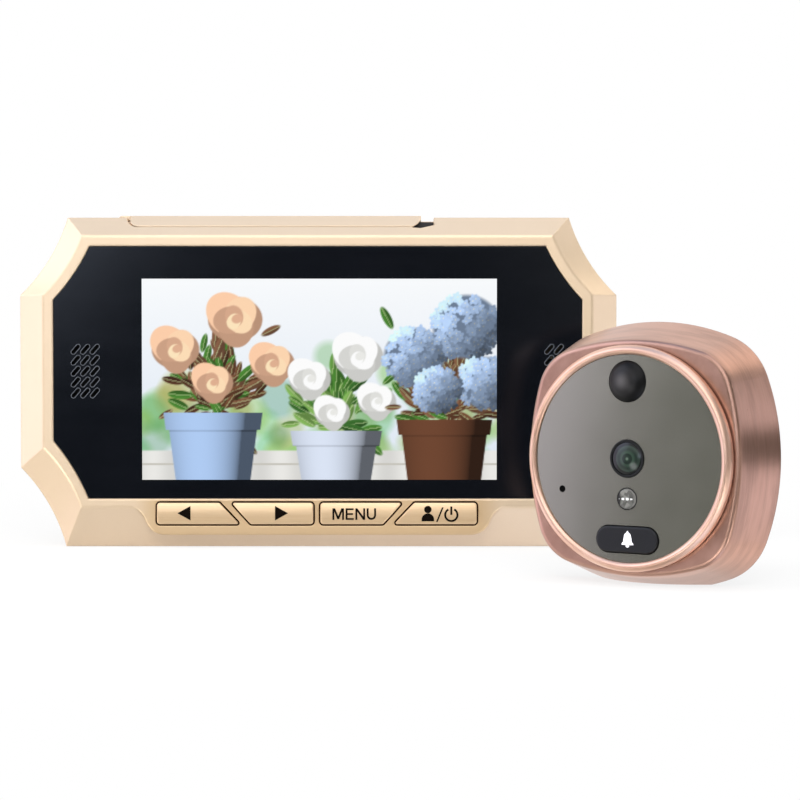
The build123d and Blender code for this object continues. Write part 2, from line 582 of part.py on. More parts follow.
def make_door_bracket():
    """Folded steel bracket: keyholes for the studs, a collared hole and two screw bosses."""
    middle = (BRACKET_LOW + BRACKET_HIGH) / 2
    outline = Pos(0, middle) * Rectangle(2 * BRACKET_HALF_X, BRACKET_HIGH - BRACKET_LOW)
    face_back = BRACKET_Y + BRACKET_SHEET
    plate = slab(outline, BRACKET_Y, face_back)
    across, deep = (-BRACKET_HALF_X, BRACKET_HALF_X), (BRACKET_Y, BRACKET_BACK_Y)
    for edge in (BRACKET_LOW, BRACKET_HIGH - BRACKET_SHEET):
        plate += box(across, deep, (edge, edge + BRACKET_SHEET))
    plate += rod(SLEEVE_R + 1.75, 0, POCKET_Z, BRACKET_Y, BRACKET_BACK_Y)
    plate -= rod(SLEEVE_R, 0, POCKET_Z, BRACKET_Y - 1, BRACKET_BACK_Y + 1)
    for x in (-SCREW_SPACING / 2, SCREW_SPACING / 2):
        plate += rod(SCREW_HOLE_R + 2.4, x, POCKET_Z, BRACKET_Y, BRACKET_BACK_Y)
        plate -= rod(SCREW_HOLE_R, x, POCKET_Z, BRACKET_Y - 1, BRACKET_BACK_Y + 1)
    for x in (-STUD_X, STUD_X):
        for z in STUD_Z:
            entry = Pos(x, z + LIFT) * Circle(STUD_HEAD_R + 0.4)
            neck = Pos(x, z + LIFT / 2) * SlotCenterToCenter(LIFT, 2 * (STUD_R + 0.3), rotation=90)
            plate -= slab(entry + neck, BRACKET_Y - 1, face_back + 1)
    return plate


# Outdoor unit

UNIT_PLACE = Pos(UNIT_X, UNIT_Y, UNIT_Z) * Rot(0, 0, UNIT_TURN)


def cushion(form, inset=0.0):
    """Rounded square with bowed sides: eight arcs that meet smoothly."""
    half, corner = form["half"] - inset, form["corner"] - inset
    middle = (form["diagonal"] - form["corner"]) / math.sqrt(2)
    shift = middle - half
    side = (corner ** 2 - middle ** 2 - shift ** 2) / (2 * (shift + corner))
    lean = math.atan2(middle, middle - (half - side))
    touch = (side * math.sin(lean), half - side + side * math.cos(lean))
    tip = middle + corner / math.sqrt(2)
    edges = []
    for quarter in range(4):
        place = Rot(0, 0, -90 * quarter)
        edges.append(place * ThreePointArc((-touch[0], touch[1]), (0, half), touch))
        edges.append(place * ThreePointArc(touch, (tip, tip), (touch[1], touch[0])))
    return make_face(edges)


def above_floor(solid, gap=0.0):
    """Take off what is below the flat on which the unit stands."""
    return solid - box((-60, 60), (-30, 90), (-UNIT_Z - 40, -UNIT_Z + gap))


def make_outdoor_shell():
    """Flared cast body, open at the back, with a round opening for the ring and four posts."""
    front_face = upright(UNIT_FRONT_Y) * cushion(UNIT_FRONT)
    back_face = upright(UNIT_BACK_Y) * cushion(UNIT_BACK)
    body = loft([front_face, back_face], ruled=True)
    rim = body.faces().sort_by(Axis.Y)[0].edges()
    body = fillet(rim, UNIT_EDGE)
    body = above_floor(body)
    share = 2.0 / (UNIT_BACK_Y - UNIT_FRONT_Y)
    start = {key: UNIT_FRONT[key] + (UNIT_BACK[key] - UNIT_FRONT[key]) * share for key in UNIT_FRONT}
    hollow = loft([upright(UNIT_FRONT_Y + 2.0) * cushion(start, UNIT_WALL),
                   upright(UNIT_BACK_Y + 0.01) * cushion(UNIT_BACK, UNIT_WALL)], ruled=True)
    body -= above_floor(hollow, UNIT_WALL)
    body -= rod(RING_NECK_R + 0.05, 0, 0, UNIT_FRONT_Y - 1, UNIT_FRONT_Y + 3)
    for x, z in unit_screws():
        body += rod(2.4, x, z, UNIT_FRONT_Y + 1.0, BACK_PLATE_Y)
        body -= rod(1.05, x, z, 7.0, BACK_PLATE_Y + 1)
    return body


def unit_screws():
    """Places of the four back plate screws."""
    return [(x, z) for x in (-UNIT_SCREW, UNIT_SCREW) for z in (-UNIT_SCREW, UNIT_SCREW)]


def make_face_ring():
    """Polished ring: a rounded lip, a neck in the shell and a ledge for the face plate."""
    inner, ledge = PLATE_R + 0.05, PLATE_R - 0.7
    crown = Spline((inner, -0.35), (inner + 0.75, -RING_PROUD), (RING_R, 0.2))
    edges = [
        crown,
        Line((RING_R, 0.2), (RING_R, 1.5)),
        Line((RING_R, 1.5), (RING_NECK_R, 1.5)),
        Line((RING_NECK_R, 1.5), (RING_NECK_R, BOARD_Y)),
        Line((RING_NECK_R, BOARD_Y), (ledge, BOARD_Y)),
        Line((ledge, BOARD_Y), (ledge, PLATE_THICK)),
        Line((ledge, PLATE_THICK), (inner, PLATE_THICK)),
        Line((inner, PLATE_THICK), (inner, -0.35)),
    ]
    return revolve(make_face(edges), Axis.Y)


def bell_outline(grow=0.0):
    """Stadium outline of the bell button."""
    return Pos(BELL_X, BELL_Z) * SlotOverall(2 * (BELL_HALF + grow), 2 * (BELL_R + grow))


def make_face_plate():
    """Round face with openings for the dome, lens, light, button and microphone."""
    plate = rod(PLATE_R, 0, 0, 0, PLATE_THICK)
    plate -= rod(DOME_R + 0.1, 0, DOME_Z, -1, PLATE_THICK + 1)
    plate -= rod(LENS_R + 0.1, 0, 0, -1, PLATE_THICK + 1)
    plate -= rod(LIGHT_R + 0.1, 0, LIGHT_Z, -1, PLATE_THICK + 1)
    plate -= rod(MIC_HOLE_R, *MIC_HOLE, -1, PLATE_THICK + 1)
    return plate - slab(bell_outline(0.22), -1, PLATE_THICK + 1)


def make_motion_dome():
    """Domed lens of the motion sensor with a flange behind the face."""
    radius = (DOME_R ** 2 + DOME_PROUD ** 2) / (2 * DOME_PROUD)
    cap = Pos(0, radius - DOME_PROUD, DOME_Z) * Sphere(radius)
    cap &= rod(DOME_R, 0, DOME_Z, -5, 0)
    flange_y = PLATE_THICK + 0.1
    dome = cap + rod(DOME_R, 0, DOME_Z, 0, flange_y) + rod(5.0, 0, DOME_Z, flange_y, flange_y + 0.8)
    return dome - rod(DOME_R - 1.0, 0, DOME_Z, 0.2, PLATE_THICK + 2)


def make_motion_sensor():
    """Sensor can on the board."""
    return rod(3.4, 0, DOME_Z, 3.0, BOARD_Y - 0.5) + rod(4.0, 0, DOME_Z, BOARD_Y - 0.5, BOARD_Y)


def make_lens_barrel():
    """Threaded barrel of the camera lens."""
    barrel = rod(LENS_R, 0, 0, -0.25, 5.0)
    return barrel - rod(LENS_R - 0.5, 0, 0, -1, 1.2) - rod(2.4, 0, 0, 0, 6)


def make_front_lens():
    """Outer glass of the wide angle lens."""
    radius, rise = LENS_R - 0.55, 0.9
    sphere = (radius ** 2 + rise ** 2) / (2 * rise)
    cap = Pos(0, sphere - rise - 0.1, 0) * Sphere(sphere)
    cap &= rod(radius, 0, 0, -5, -0.1)
    return cap + rod(radius, 0, 0, -0.1, 1.2)


def make_lens_holder():
    """Block on the board with the image sensor under the barrel."""
    return box((-4.8, 4.8), (5.0, BOARD_Y), (-4.8, 4.8))


def make_light_lens():
    """Clear faceted cover of the light."""
    lens = rod(LIGHT_R, 0, LIGHT_Z, 0.0, PLATE_THICK + 0.1)
    cone = Plane((0, 0, LIGHT_Z), x_dir=(1, 0, 0), z_dir=(0, -1, 0)) * RegularPolygon(LIGHT_R - 0.05, 8)
    facets = extrude(cone, amount=0.45, taper=35)
    return lens + facets


def make_light_reflector():
    """Cone behind the light's cover."""
    outer = rod(LIGHT_R + 0.5, 0, LIGHT_Z, PLATE_THICK + 0.15, 5.0)
    cup = turned([(0, PLATE_THICK), (LIGHT_R, PLATE_THICK), (1.45, 4.2), (1.45, 6.0), (0, 6.0)])
    return outer - Pos(0, 0, LIGHT_Z) * cup


def make_light_emitter():
    """Light emitting diode on the board."""
    return rod(1.3, 0, LIGHT_Z, 3.4, 6.4) + rod(1.8, 0, LIGHT_Z, 6.4, BOARD_Y)


def make_bell_button():
    """Stadium button with a soft front edge and a flange that keeps it in."""
    button = slab(bell_outline(), -BELL_PROUD, PLATE_THICK + 0.15)
    button = fillet(button.faces().sort_by(Axis.Y)[0].edges(), 0.4)
    return button + slab(bell_outline(0.5), PLATE_THICK + 0.15, PLATE_THICK + 0.9)


def make_bell_stem():
    """Stem between the button and its switch."""
    return rod(1.5, 0, BELL_Z, PLATE_THICK + 0.9, 4.2)


def make_bell_switch():
    """Click switch on the board."""
    body = box((-3, 3), (5.5, BOARD_Y), (BELL_Z - 3, BELL_Z + 3))
    return body + rod(1.5, 0, BELL_Z, 4.85, 5.5)


def make_bell_boot():
    """Rubber ring that keeps rain from the bell switch."""
    return rod(2.9, 0, BELL_Z, 4.2, 5.5) - rod(1.9, 0, BELL_Z, 4.0, 6.0)


def make_outdoor_board():
    """Round board of the outdoor unit."""
    disc = rod(BOARD_R, 0, 0, BOARD_Y, BOARD_Y + BOARD_THICK)
    return disc + box((-8, 8), (BOARD_Y + BOARD_THICK, BOARD_Y + 3.2), (-14, -9))


def make_outdoor_microphone():
    """Microphone capsule behind its hole."""
    return rod(2.0, *MIC_HOLE, PLATE_THICK, PLATE_THICK + 1.6)


def make_outdoor_back_plate():
    """Flat plate that closes the shell, with a hole for the barrel tube and sunk screw seats."""
    plate = slab(cushion(UNIT_BACK, UNIT_WALL + 0.75), BACK_PLATE_Y, UNIT_BACK_Y)
    plate = above_floor(plate, UNIT_WALL + 0.2)
    plate -= rod(BARREL_NECK_R + 0.02, 0, 0, BACK_PLATE_Y - 1, UNIT_BACK_Y + 1)
    for x, z in unit_screws():
        plate -= rod(2.3, x, z, UNIT_BACK_Y - 1.0, UNIT_BACK_Y + 1)
        plate -= rod(1.15, x, z, BACK_PLATE_Y - 1, UNIT_BACK_Y)
    return plate


def make_back_plate_screws():
    """Four screws of the back plate."""
    found = []
    for x, z in unit_screws():
        screw = rod(2.0, x, z, UNIT_BACK_Y - 1.0, UNIT_BACK_Y - 0.1)
        screw += rod(1.0, x, z, 7.6, UNIT_BACK_Y - 1.0)
        cross = Pos(x, z) * (Rectangle(2.2, 0.5) + Rectangle(0.5, 2.2))
        found.append(screw - slab(cross, UNIT_BACK_Y - 0.5, UNIT_BACK_Y + 1))
    return [one.solid() for one in found]


def make_barrel_tube():
    """Tube that passes through the door, flanged inside the back plate."""
    neck_end = UNIT_BACK_Y + FOAM_THICK
    end = neck_end + BARREL_LONG
    tube = rod(BARREL_R, 0, 0, neck_end, end) + rod(BARREL_NECK_R, 0, 0, BACK_PLATE_Y, neck_end)
    tube += rod(BARREL_NECK_R + 2, 0, 0, BACK_PLATE_Y - 1.0, BACK_PLATE_Y)
    tube -= rod(BARREL_BORE_R, 0, 0, UNIT_BACK_Y + 8, end + 1)
    return tube - rod(3.6, 0, 0, BACK_PLATE_Y - 3, UNIT_BACK_Y + 9)


def make_cable_grommet():
    """Rubber grommet at the inner end of the tube's bore."""
    grommet = rod(3.6, 0, 0, BACK_PLATE_Y + 1.0, BACK_PLATE_Y + 6.0)
    return grommet - rod(2.2, 0, 0, BACK_PLATE_Y, BACK_PLATE_Y + 7)


def make_foam_gasket():
    """Foam seal on the back of the outdoor unit."""
    pad = slab(cushion(UNIT_BACK, 1.0), UNIT_BACK_Y, UNIT_BACK_Y + FOAM_THICK)
    pad = above_floor(pad, 0.9)
    return pad - rod(BARREL_NECK_R + 0.8, 0, 0, UNIT_BACK_Y - 1, UNIT_BACK_Y + 3)


MONITOR = {
    "front_bezel": make_front_bezel,
    "window_panel": make_window_panel,
    "window_tape": make_window_tape,
    "rear_cover": make_rear_cover,
    "cable_cup": make_cable_cup,
    "port_tray": make_port_tray,
    "port_lid": make_port_lid,
    "lid_pin": make_lid_pin,
    "power_switch_body": make_power_switch_body,
    "power_switch_slider": make_power_switch_slider,
    "usb_socket": make_usb_socket,
    "card_slot": make_card_slot,
    "memory_card": make_memory_card,
    "lcd_frame": make_lcd_frame,
    "lcd_panel": make_lcd_panel,
    "backlight_unit": make_backlight_unit,
    "main_board": make_main_board,
    "key_board": make_key_board,
    "key_switches": make_key_switches,
    "speaker": make_speaker,
    "speaker_gasket": make_speaker_gasket,
    "microphone": make_microphone,
    "microphone_boot": make_microphone_boot,
    "battery_pack": make_battery_pack,
    "battery_foam": make_battery_foam,
    "case_screws": make_case_screws,
    "cable_socket": make_cable_socket,
    "bracket_studs": make_bracket_studs,
    "door_bracket": make_door_bracket,
}

OUTDOOR = {
    "outdoor_shell": make_outdoor_shell,
    "face_ring": make_face_ring,
    "face_plate": make_face_plate,
    "motion_dome": make_motion_dome,
    "motion_sensor": make_motion_sensor,
    "lens_barrel": make_lens_barrel,
    "front_lens": make_front_lens,
    "lens_holder": make_lens_holder,
    "light_lens": make_light_lens,
    "light_reflector": make_light_reflector,
    "light_emitter": make_light_emitter,
    "bell_button": make_bell_button,
    "bell_stem": make_bell_stem,
    "bell_switch": make_bell_switch,
    "bell_boot": make_bell_boot,
    "outdoor_board": make_outdoor_board,
    "outdoor_microphone": make_outdoor_microphone,
    "outdoor_back_plate": make_outdoor_back_plate,
    "back_plate_screws": make_back_plate_screws,
    "barrel_tube": make_barrel_tube,
    "cable_grommet": make_cable_grommet,
    "foam_gasket": make_foam_gasket,
}


def write(name, solids, place=None):
    """One STEP file for a piece, or for a group of like pieces."""
    found = solids if isinstance(solids, list) else solids.solids()
    if place:
        found = [place * one for one in found]
    shape = found[0] if len(found) == 1 else Compound(children=found)
    export_step(shape, f"parts/{name}.step")
    print(f"{name}: {len(found)} solid(s), {sum(one.volume for one in found):.1f} mm3")


def main():
    os.makedirs("parts", exist_ok=True)
    for name, make in MONITOR.items():
        write(name, make())
    for name in KEY_STEM_X:
        write(f"key_{name}", key_cap(name))
        write(f"key_{name}_stem", key_stem(name))
    for name, make in OUTDOOR.items():
        write(name, make(), UNIT_PLACE)


main()
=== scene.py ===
# %% [markdown]
# # Dressing a peephole door camera
# The object comes in two parts. A monitor hangs on the room side of the door, and a small copper doorbell
# unit sits outside. Their solids come ready from a packed model. This lesson gives them their finishes
# and adds what is too thin or too graphic for a solid: the lit picture, printed signs, slot rims, threads.

import json
import math

import bmesh
import bpy
import numpy as np
from mathutils import Matrix, Vector


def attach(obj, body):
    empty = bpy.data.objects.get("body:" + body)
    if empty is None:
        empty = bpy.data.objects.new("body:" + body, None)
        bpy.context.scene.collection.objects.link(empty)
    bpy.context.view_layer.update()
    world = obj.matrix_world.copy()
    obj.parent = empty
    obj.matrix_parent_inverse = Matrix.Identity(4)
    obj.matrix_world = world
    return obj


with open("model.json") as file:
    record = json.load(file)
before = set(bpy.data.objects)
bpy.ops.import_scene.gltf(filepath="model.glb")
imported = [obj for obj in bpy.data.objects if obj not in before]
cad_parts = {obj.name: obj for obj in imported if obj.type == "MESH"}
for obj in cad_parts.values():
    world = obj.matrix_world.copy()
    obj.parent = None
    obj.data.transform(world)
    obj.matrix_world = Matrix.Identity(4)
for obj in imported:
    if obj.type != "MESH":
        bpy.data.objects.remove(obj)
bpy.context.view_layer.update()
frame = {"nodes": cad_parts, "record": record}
nodes = frame["nodes"]

# %% [markdown]
# ## Sizes that the dressing shares
# Blender works in metres, but small electronics are easier to read in millimetres. A single factor turns
# one into the other. The outdoor unit is turned about the upright axis, so its own pieces are placed by a
# matrix: they are written as if the unit faced the viewer squarely, and the matrix sets them in place.

# %% Sizes and places
MM = 0.001
KEY_FACE_Y = -9.6
WINDOW_Y = -8.8
SCREEN = dict(x=0.45, z=45.3, wide=95.04, high=53.86)
UNIT_AT = Vector((73.8, -103.5, 29.3)) * MM
UNIT_TURN = math.radians(-33.5)
IN_UNIT = Matrix.Translation(UNIT_AT) @ Matrix.Rotation(UNIT_TURN, 4, "Z")
IN_MONITOR = Matrix.Identity(4)
print("outdoor unit at", [round(c, 4) for c in UNIT_AT], "turned", round(math.degrees(UNIT_TURN), 1))

# %% [markdown]
# ## The camera
# A product picture is taken from well back with a long lens, which keeps both bodies square. The camera is
# aimed here: slightly right of the monitor's middle, a little downwards. No lens shift is needed,
# because the upright edges lean apart by less than a pixel.

# %% Camera
lens = bpy.data.cameras.new("long_lens")
lens.lens = 105.75
lens.sensor_width = 36.0
lens.clip_start = 0.05
lens.clip_end = 20.0
camera = bpy.data.objects.new("camera", lens)
camera.location = (0.02205, -0.6382, 0.059)
camera.rotation_euler = (math.radians(90 - 1.75), 0.0, 0.0)
bpy.context.scene.collection.objects.link(camera)
bpy.context.scene.camera = camera
print("camera", [round(c, 3) for c in camera.location])

# %% [markdown]
# ## Soft studio light
# Four large soft boxes light the object from the left, above, the right and the front. They give its
# matt share and the shadow on the floor. What its metals mirror is painted later, in the room itself, so
# the boxes are hidden from mirrors.

# %% Lamps
def soft_box(name, place, aim, wide, high, watts):
    """A rectangular lamp at place that faces aim, both in metres."""
    data = bpy.data.lights.new(name, "AREA")
    data.shape = "RECTANGLE"
    data.size, data.size_y, data.energy = wide, high, watts
    lamp = bpy.data.objects.new(name, data)
    lamp.location = place
    lamp.rotation_euler = (Vector(aim) - Vector(place)).to_track_quat("-Z", "Y").to_euler()
    lamp.visible_glossy = False
    bpy.context.scene.collection.objects.link(lamp)
    return lamp


soft_box("left_box", (-1.05, -0.55, 0.40), (0.0, -0.03, 0.05), 0.6, 0.9, 9.0)
soft_box("top_box", (0.0, -0.30, 1.15), (0.02, -0.03, 0.04), 1.3, 0.8, 5.2)
soft_box("right_box", (1.0, -0.75, 0.5), (0.06, -0.06, 0.05), 0.5, 0.8, 3.5)
soft_box("front_box", (0.0, -1.3, 0.75), (0.02, -0.03, 0.05), 0.9, 0.4, 13.0)
print("lamps:", len(bpy.data.lights))

# %% [markdown]
# ## Node trees as Python sums
# A node tree drawn by hand is a maze of wires. Written as sums it is short. `Wire` wraps an output socket,
# and each operator on it adds one Math node. `Wiring` holds the tree of a material, of the room or of a
# Geometry Nodes modifier. Its one `node` method adds every other node from a type, its settings and its
# sockets, so all the trees of this lesson are written alike.

# %% Wires
class Wire:
    """An output socket that can stand in a Python sum."""

    def __init__(self, wiring, socket):
        self.wiring, self.socket = wiring, socket

    def sum(self, operation, first, second):
        return self.wiring.node("Math", {"operation": operation}, {0: first, 1: second})

    def __add__(self, other):
        return self.sum("ADD", self, other)

    def __radd__(self, other):
        return self.sum("ADD", other, self)

    def __sub__(self, other):
        return self.sum("SUBTRACT", self, other)

    def __rsub__(self, other):
        return self.sum("SUBTRACT", other, self)

    def __mul__(self, other):
        return self.sum("MULTIPLY", self, other)

    def __rmul__(self, other):
        return self.sum("MULTIPLY", other, self)

    def __pow__(self, other):
        return self.sum("POWER", self, other)


# %% Wiring
class Wiring:
    """A node tree that is filled by sums and by the short methods below."""

    def __init__(self, tree):
        self.tree = tree

    def plug(self, socket, value):
        """Links a wire into a socket, or sets the socket's value."""
        if isinstance(value, Wire):
            self.tree.links.new(value.socket, socket)
        else:
            socket.default_value = value

    def node(self, kind, settings=None, sockets=None, out=0):
        """One output of a new node. Its kind is a shader node's unless it is written in full."""
        node = self.tree.nodes.new(kind if kind.startswith(("Geometry", "NodeGroup")) else "ShaderNode" + kind)
        for key, value in (settings or {}).items():
            setattr(node, key, value)
        for key, value in (sockets or {}).items():
            self.plug(node.inputs[key], value)
        return Wire(self, node.outputs[out])

    def outputs(self, kind):
        """All outputs of a new node, by name."""
        node = self.node(kind).socket.node
        return {socket.name: Wire(self, socket) for socket in node.outputs}

    def mix(self, share, first, second):
        return self.node("Mix", {"data_type": "RGBA"}, {0: share, 6: first, 7: second}, out=2)

    def axis(self, spot, index):
        return self.node("SeparateXYZ", {}, {0: spot}, out=index)

    def ramp(self, value, low, high):
        """Value carried smoothly from 0 at low to 1 at high."""
        sockets = {"Value": value, "From Min": low, "From Max": high}
        return self.node("MapRange", {"interpolation_type": "SMOOTHSTEP"}, sockets)


print("a wiring can", [name for name in vars(Wiring) if not name.startswith("_")])

# %% [markdown]
# ## Colours and finishes
# Colours are written as web colours, as the eye sees them, but light adds up in a straight line, so each is
# turned into linear light once. A `Finish` is the wiring of a material with one Principled shader, together
# with what most finishes here need: coordinates, a noise, and a relief whose edges catch the light.

# %% Colours
def web(code):
    """Red, green and blue of a six digit web colour, from 0 to 1."""
    return np.array([int(code[i:i + 2], 16) / 255 for i in (0, 2, 4)])


def linear(colour):
    """The linear light of colours that are written for the eye."""
    return np.where(colour <= 0.04045, colour / 12.92, ((colour + 0.055) / 1.055) ** 2.4)


def tone(code):
    """A web colour as a colour socket takes it."""
    return (*linear(web(code)).tolist(), 1.0)


BLACK, WHITE = tone("000000"), tone("ffffff")
print("a mid grey is written", [round(c, 3) for c in tone("808080")[:3]])

# %% Finishes
class Finish(Wiring):
    """A material with one Principled shader."""

    def __init__(self, name, **values):
        self.material = bpy.data.materials.new(name)
        self.material.use_nodes = True
        super().__init__(self.material.node_tree)
        self.shader = self.tree.nodes["Principled BSDF"]
        self.feed(**values)

    def feed(self, **values):
        """Values and links into the Principled shader: base_color=..., roughness=..., normal=..."""
        for key, value in values.items():
            self.plug(self.shader.inputs[key.replace("_", " ").title().replace("Ior", "IOR")], value)
        return self

    def place(self, in_unit=False):
        """Object coordinates, or the same seen squarely from the outdoor unit's front."""
        spot = self.node("TexCoord", out="Object")
        if not in_unit:
            return spot
        turn = {"Vector": spot, "Location": UNIT_AT, "Rotation": (0, 0, UNIT_TURN)}
        return self.node("Mapping", {"vector_type": "TEXTURE"}, turn)

    def stretch(self, spot, x, y, z):
        """Coordinates scaled along each axis, for a grain."""
        return self.node("Mapping", {}, {"Vector": spot, "Scale": (x, y, z)})

    def noise(self, spot, scale, detail=2.0, roughness=0.5):
        return self.node("TexNoise", {}, {"Vector": spot, "Scale": scale, "Detail": detail, "Roughness": roughness})

    def from_centre(self, across, up):
        """Millimetres from a point of the outdoor face: sideways, upwards and along the radius."""
        spot = self.place(in_unit=True)
        x, z = self.axis(spot, 0) * 1000 - across, self.axis(spot, 2) * 1000 - up
        return x, z, (x * x + z * z) ** 0.5

    def relief(self, height, depth, strength=1.0, edge=0.0):
        """Bump of a height, in metres, over edges that catch the light as if rounded by edge."""
        sockets = {"Height": height, "Distance": depth, "Strength": strength}
        if edge:
            sockets["Normal"] = self.node("Bevel", {"samples": 6}, {"Radius": edge})
        return self.node("Bump", {}, sockets)


print("a finish can also", [name for name in vars(Finish) if not name.startswith("_")])

# %% [markdown]
# ## Champagne paint
# The monitor's frame, lid and rear cover are sprayed with a metal flake paint. Under a lens it shows three
# scales: sparkle at a tenth of a millimetre, the faint waviness of a sprayed coat, and slow drifts of tone.
# Real edges are never razor sharp, so a Bevel node bends the normal near each edge and makes it glint.
# The land round the keys is a touch deeper in tone: that deeper tone is painted shade.

# %% Champagne paint
# Limits of the painted shade on the land round the keys, in metres: sideways, upwards and front to back.
LAND_SHADE_ASIDE, LAND_SHADE_UP, LAND_SHADE_DEEP = (0.050, 0.043), (0.0135, 0.0125), (-0.0075, -0.0088)


def champagne(name, light, dark, flake, roughness):
    """Flake paint, with painted shade on the land round the keys inside the three limits above, each from none to
    full.
    """
    paint = Finish(name, metallic=0.55, coat_weight=0.25, coat_roughness=0.18)
    spot = paint.place()
    sparkle = paint.noise(spot, 9000, 1.0)
    drift = paint.noise(spot, 22, 3.0)
    colour = paint.mix(sparkle * flake + drift * (1 - flake), tone(dark), tone(light))
    # Painted shade: inside the limits the colour turns to a deeper tone, d6b78e.
    aside = paint.node("Math", {"operation": "ABSOLUTE"}, {0: paint.axis(spot, 0)})
    land_shade = paint.ramp(aside, *LAND_SHADE_ASIDE) * paint.ramp(paint.axis(spot, 2), *LAND_SHADE_UP)
    land_shade = land_shade * paint.ramp(paint.axis(spot, 1), *LAND_SHADE_DEEP)
    paint.feed(base_color=paint.mix(land_shade, colour, tone("d6b78e")), roughness=roughness + sparkle * 0.12)
    return paint.feed(normal=paint.relief(paint.noise(spot, 900, 2.0), 0.00002, 0.5, edge=0.0006))


FINISHES = {
    "champagne_gold": champagne("champagne_paint", "efd9bd", "dcc09c", 0.5, 0.30),
    "back_shell": champagne("champagne_cover", "e6cfb0", "d3b994", 0.4, 0.42),
}
print("paints:", list(FINISHES))

# %% [markdown]
# ## Plated keys
# The keys are plated plastic with a fine sideways brushing, a touch deeper in tone than the frame. The
# brushing is one noise pulled out along X: the same pattern drives the colour and the roughness, so the
# scratches look like one surface and not two patterns laid over each other.

# %% Plated keys
def plated_keys():
    """Plated plastic, whose brushing drives its tone, its roughness and its relief."""
    plate = Finish("plated_keys", metallic=0.6, coat_weight=0.15, coat_roughness=0.12)
    brushed = plate.noise(plate.stretch(plate.place(), 60, 2500, 9000), 1.0, 3.0)
    plate.feed(base_color=plate.mix(brushed, tone("dfbb90"), tone("eed2ab")), roughness=0.3 + brushed * 0.06)
    return plate.feed(normal=plate.relief(brushed, 0.000005, 0.3, edge=0.0005))


FINISHES["key_plate"] = plated_keys()
print("finishes so far:", len(FINISHES))

# %% [markdown]
# ## Black window, dome and button
# Polished black plastic is nearly all reflection. What makes it real is that the polish isn't even: wiping
# leaves broad, faint smears. A low noise moves the roughness by a few hundredths and leaves the colour.

# %% Black gloss
def black_gloss(name, colour, roughness, smear, edge):
    """Polished plastic, less polished by up to smear where it was wiped."""
    gloss = Finish(name, specular_ior_level=0.36)
    spot = gloss.place()
    wiped = gloss.noise(gloss.stretch(spot, 1, 1, 3), 40, 4.0, 0.6)
    gloss.feed(base_color=gloss.mix(wiped, tone(colour), tone("0c0e13")), roughness=roughness + wiped * smear)
    return gloss.feed(normal=gloss.relief(gloss.noise(spot, 150, 1.0), 0.00001, 0.15, edge=edge))


FINISHES["window_black"] = black_gloss("window_black", "05070b", 0.08, 0.07, 0.0002)
FINISHES["button_black"] = black_gloss("button_black", "1d1d1e", 0.34, 0.08, 0.0004)
print("gloss finishes:", len(FINISHES))

# %% [markdown]
# ## Brushed copper
# The outdoor shell is aluminium with a copper tone, brushed along its perimeter. So the grain changes fast
# from front to back and slowly round the body. The coordinates are first turned into the unit's own frame,
# where front to back is Y. Wear shows as paler streaks, and the polished ring is the same metal, smoother.

# %% Copper
def copper(name, light, mid, dark, roughness, grain):
    """Brushed metal: fine grain over streaks of two tones, which wear has rubbed paler."""
    metal = Finish(name, metallic=0.9, coat_weight=0.3, coat_roughness=0.3)
    spot = metal.place(in_unit=True)
    fine = metal.noise(metal.stretch(spot, 90, 7000, 90), 1.0, 4.0, 0.7)
    broad = metal.noise(metal.stretch(spot, 45, 260, 45), 1.0, 3.0, 0.6)
    rub = metal.mix(metal.ramp(broad, 0.35, 0.65), tone(dark), tone(mid))
    metal.feed(base_color=metal.mix(fine * grain, rub, tone(light)), roughness=roughness + fine * 0.2)
    return metal.feed(normal=metal.relief(fine, 0.00003, 0.5 * grain, edge=0.0004))


FINISHES["copper_shell"] = copper("copper_shell", "dfb4a0", "be8d78", "8a604e", 0.22, 0.9)
FINISHES["copper_ring"] = copper("copper_ring", "ffdfca", "f8ccb3", "e8b599", 0.26, 0.35)
print("finishes so far:", len(FINISHES))

# %% [markdown]
# ## Metals and glass of the outdoor face
# The round face is satin metal with very fine turning marks, rings about its centre, so their height is a
# sine of the radius. Its normals lean as if it were crowned by two thirds of a millimetre, which spreads
# the light across it. The camera's lens and the light are small, but each has rings of its own, drawn by
# radius. The dome's colour is drawn by radius too: a painted highlight near its middle and painted shade towards its
# rim.

# %% Turned metal
def turned_metal(name, light, dark, roughness, metallic, pitch, crowning=0.0):
    """Satin metal with rings a pitch apart. Crowning leans a flat face's normals outwards, per metre."""
    metal = Finish(name, metallic=metallic)
    spot = metal.place(in_unit=True)
    across, up = metal.axis(spot, 0), metal.axis(spot, 2)
    radius = (across * across + up * up) ** 0.5
    rings = metal.node("Math", {"operation": "SINE"}, {0: radius * (2 * math.pi / pitch)}) * 0.5 + 0.5
    cloud = metal.noise(spot, 120, 3.0)
    metal.feed(base_color=metal.mix(cloud * 0.9 + rings * 0.1, tone(dark), tone(light)))
    metal.feed(roughness=roughness + cloud * 0.06)
    if not crowning:
        return metal.feed(normal=metal.relief(rings, 0.000004, 0.25, edge=0.0002))
    out = metal.node("VectorMath", {"operation": "SUBTRACT"}, {0: metal.place(), 1: UNIT_AT})
    lean = metal.node("VectorMath", {"operation": "SCALE"}, {0: out, "Scale": crowning})
    flat = metal.node("NewGeometry", out="Normal")
    return metal.feed(normal=metal.node("VectorMath", {}, {0: flat, 1: lean}))


# %% Rings by radius
def target(name, across, up, bands, roughness, shine=0.4):
    """Rings about a point of the face: a colour for each radius in mm, blended in between."""
    stuff = Finish(name, specular_ior_level=shine)
    radius = stuff.from_centre(across, up)[2]
    colour = tone(bands[0][1])
    for (start, _), (end, code) in zip(bands, bands[1:]):
        colour = stuff.mix(stuff.ramp(radius, start, end), colour, tone(code))
    cloud = stuff.noise(stuff.place(), 900, 2.0)
    stuff.feed(base_color=stuff.mix(cloud * 0.15, colour, tone("101010")))
    return stuff.feed(roughness=roughness + cloud * 0.05)


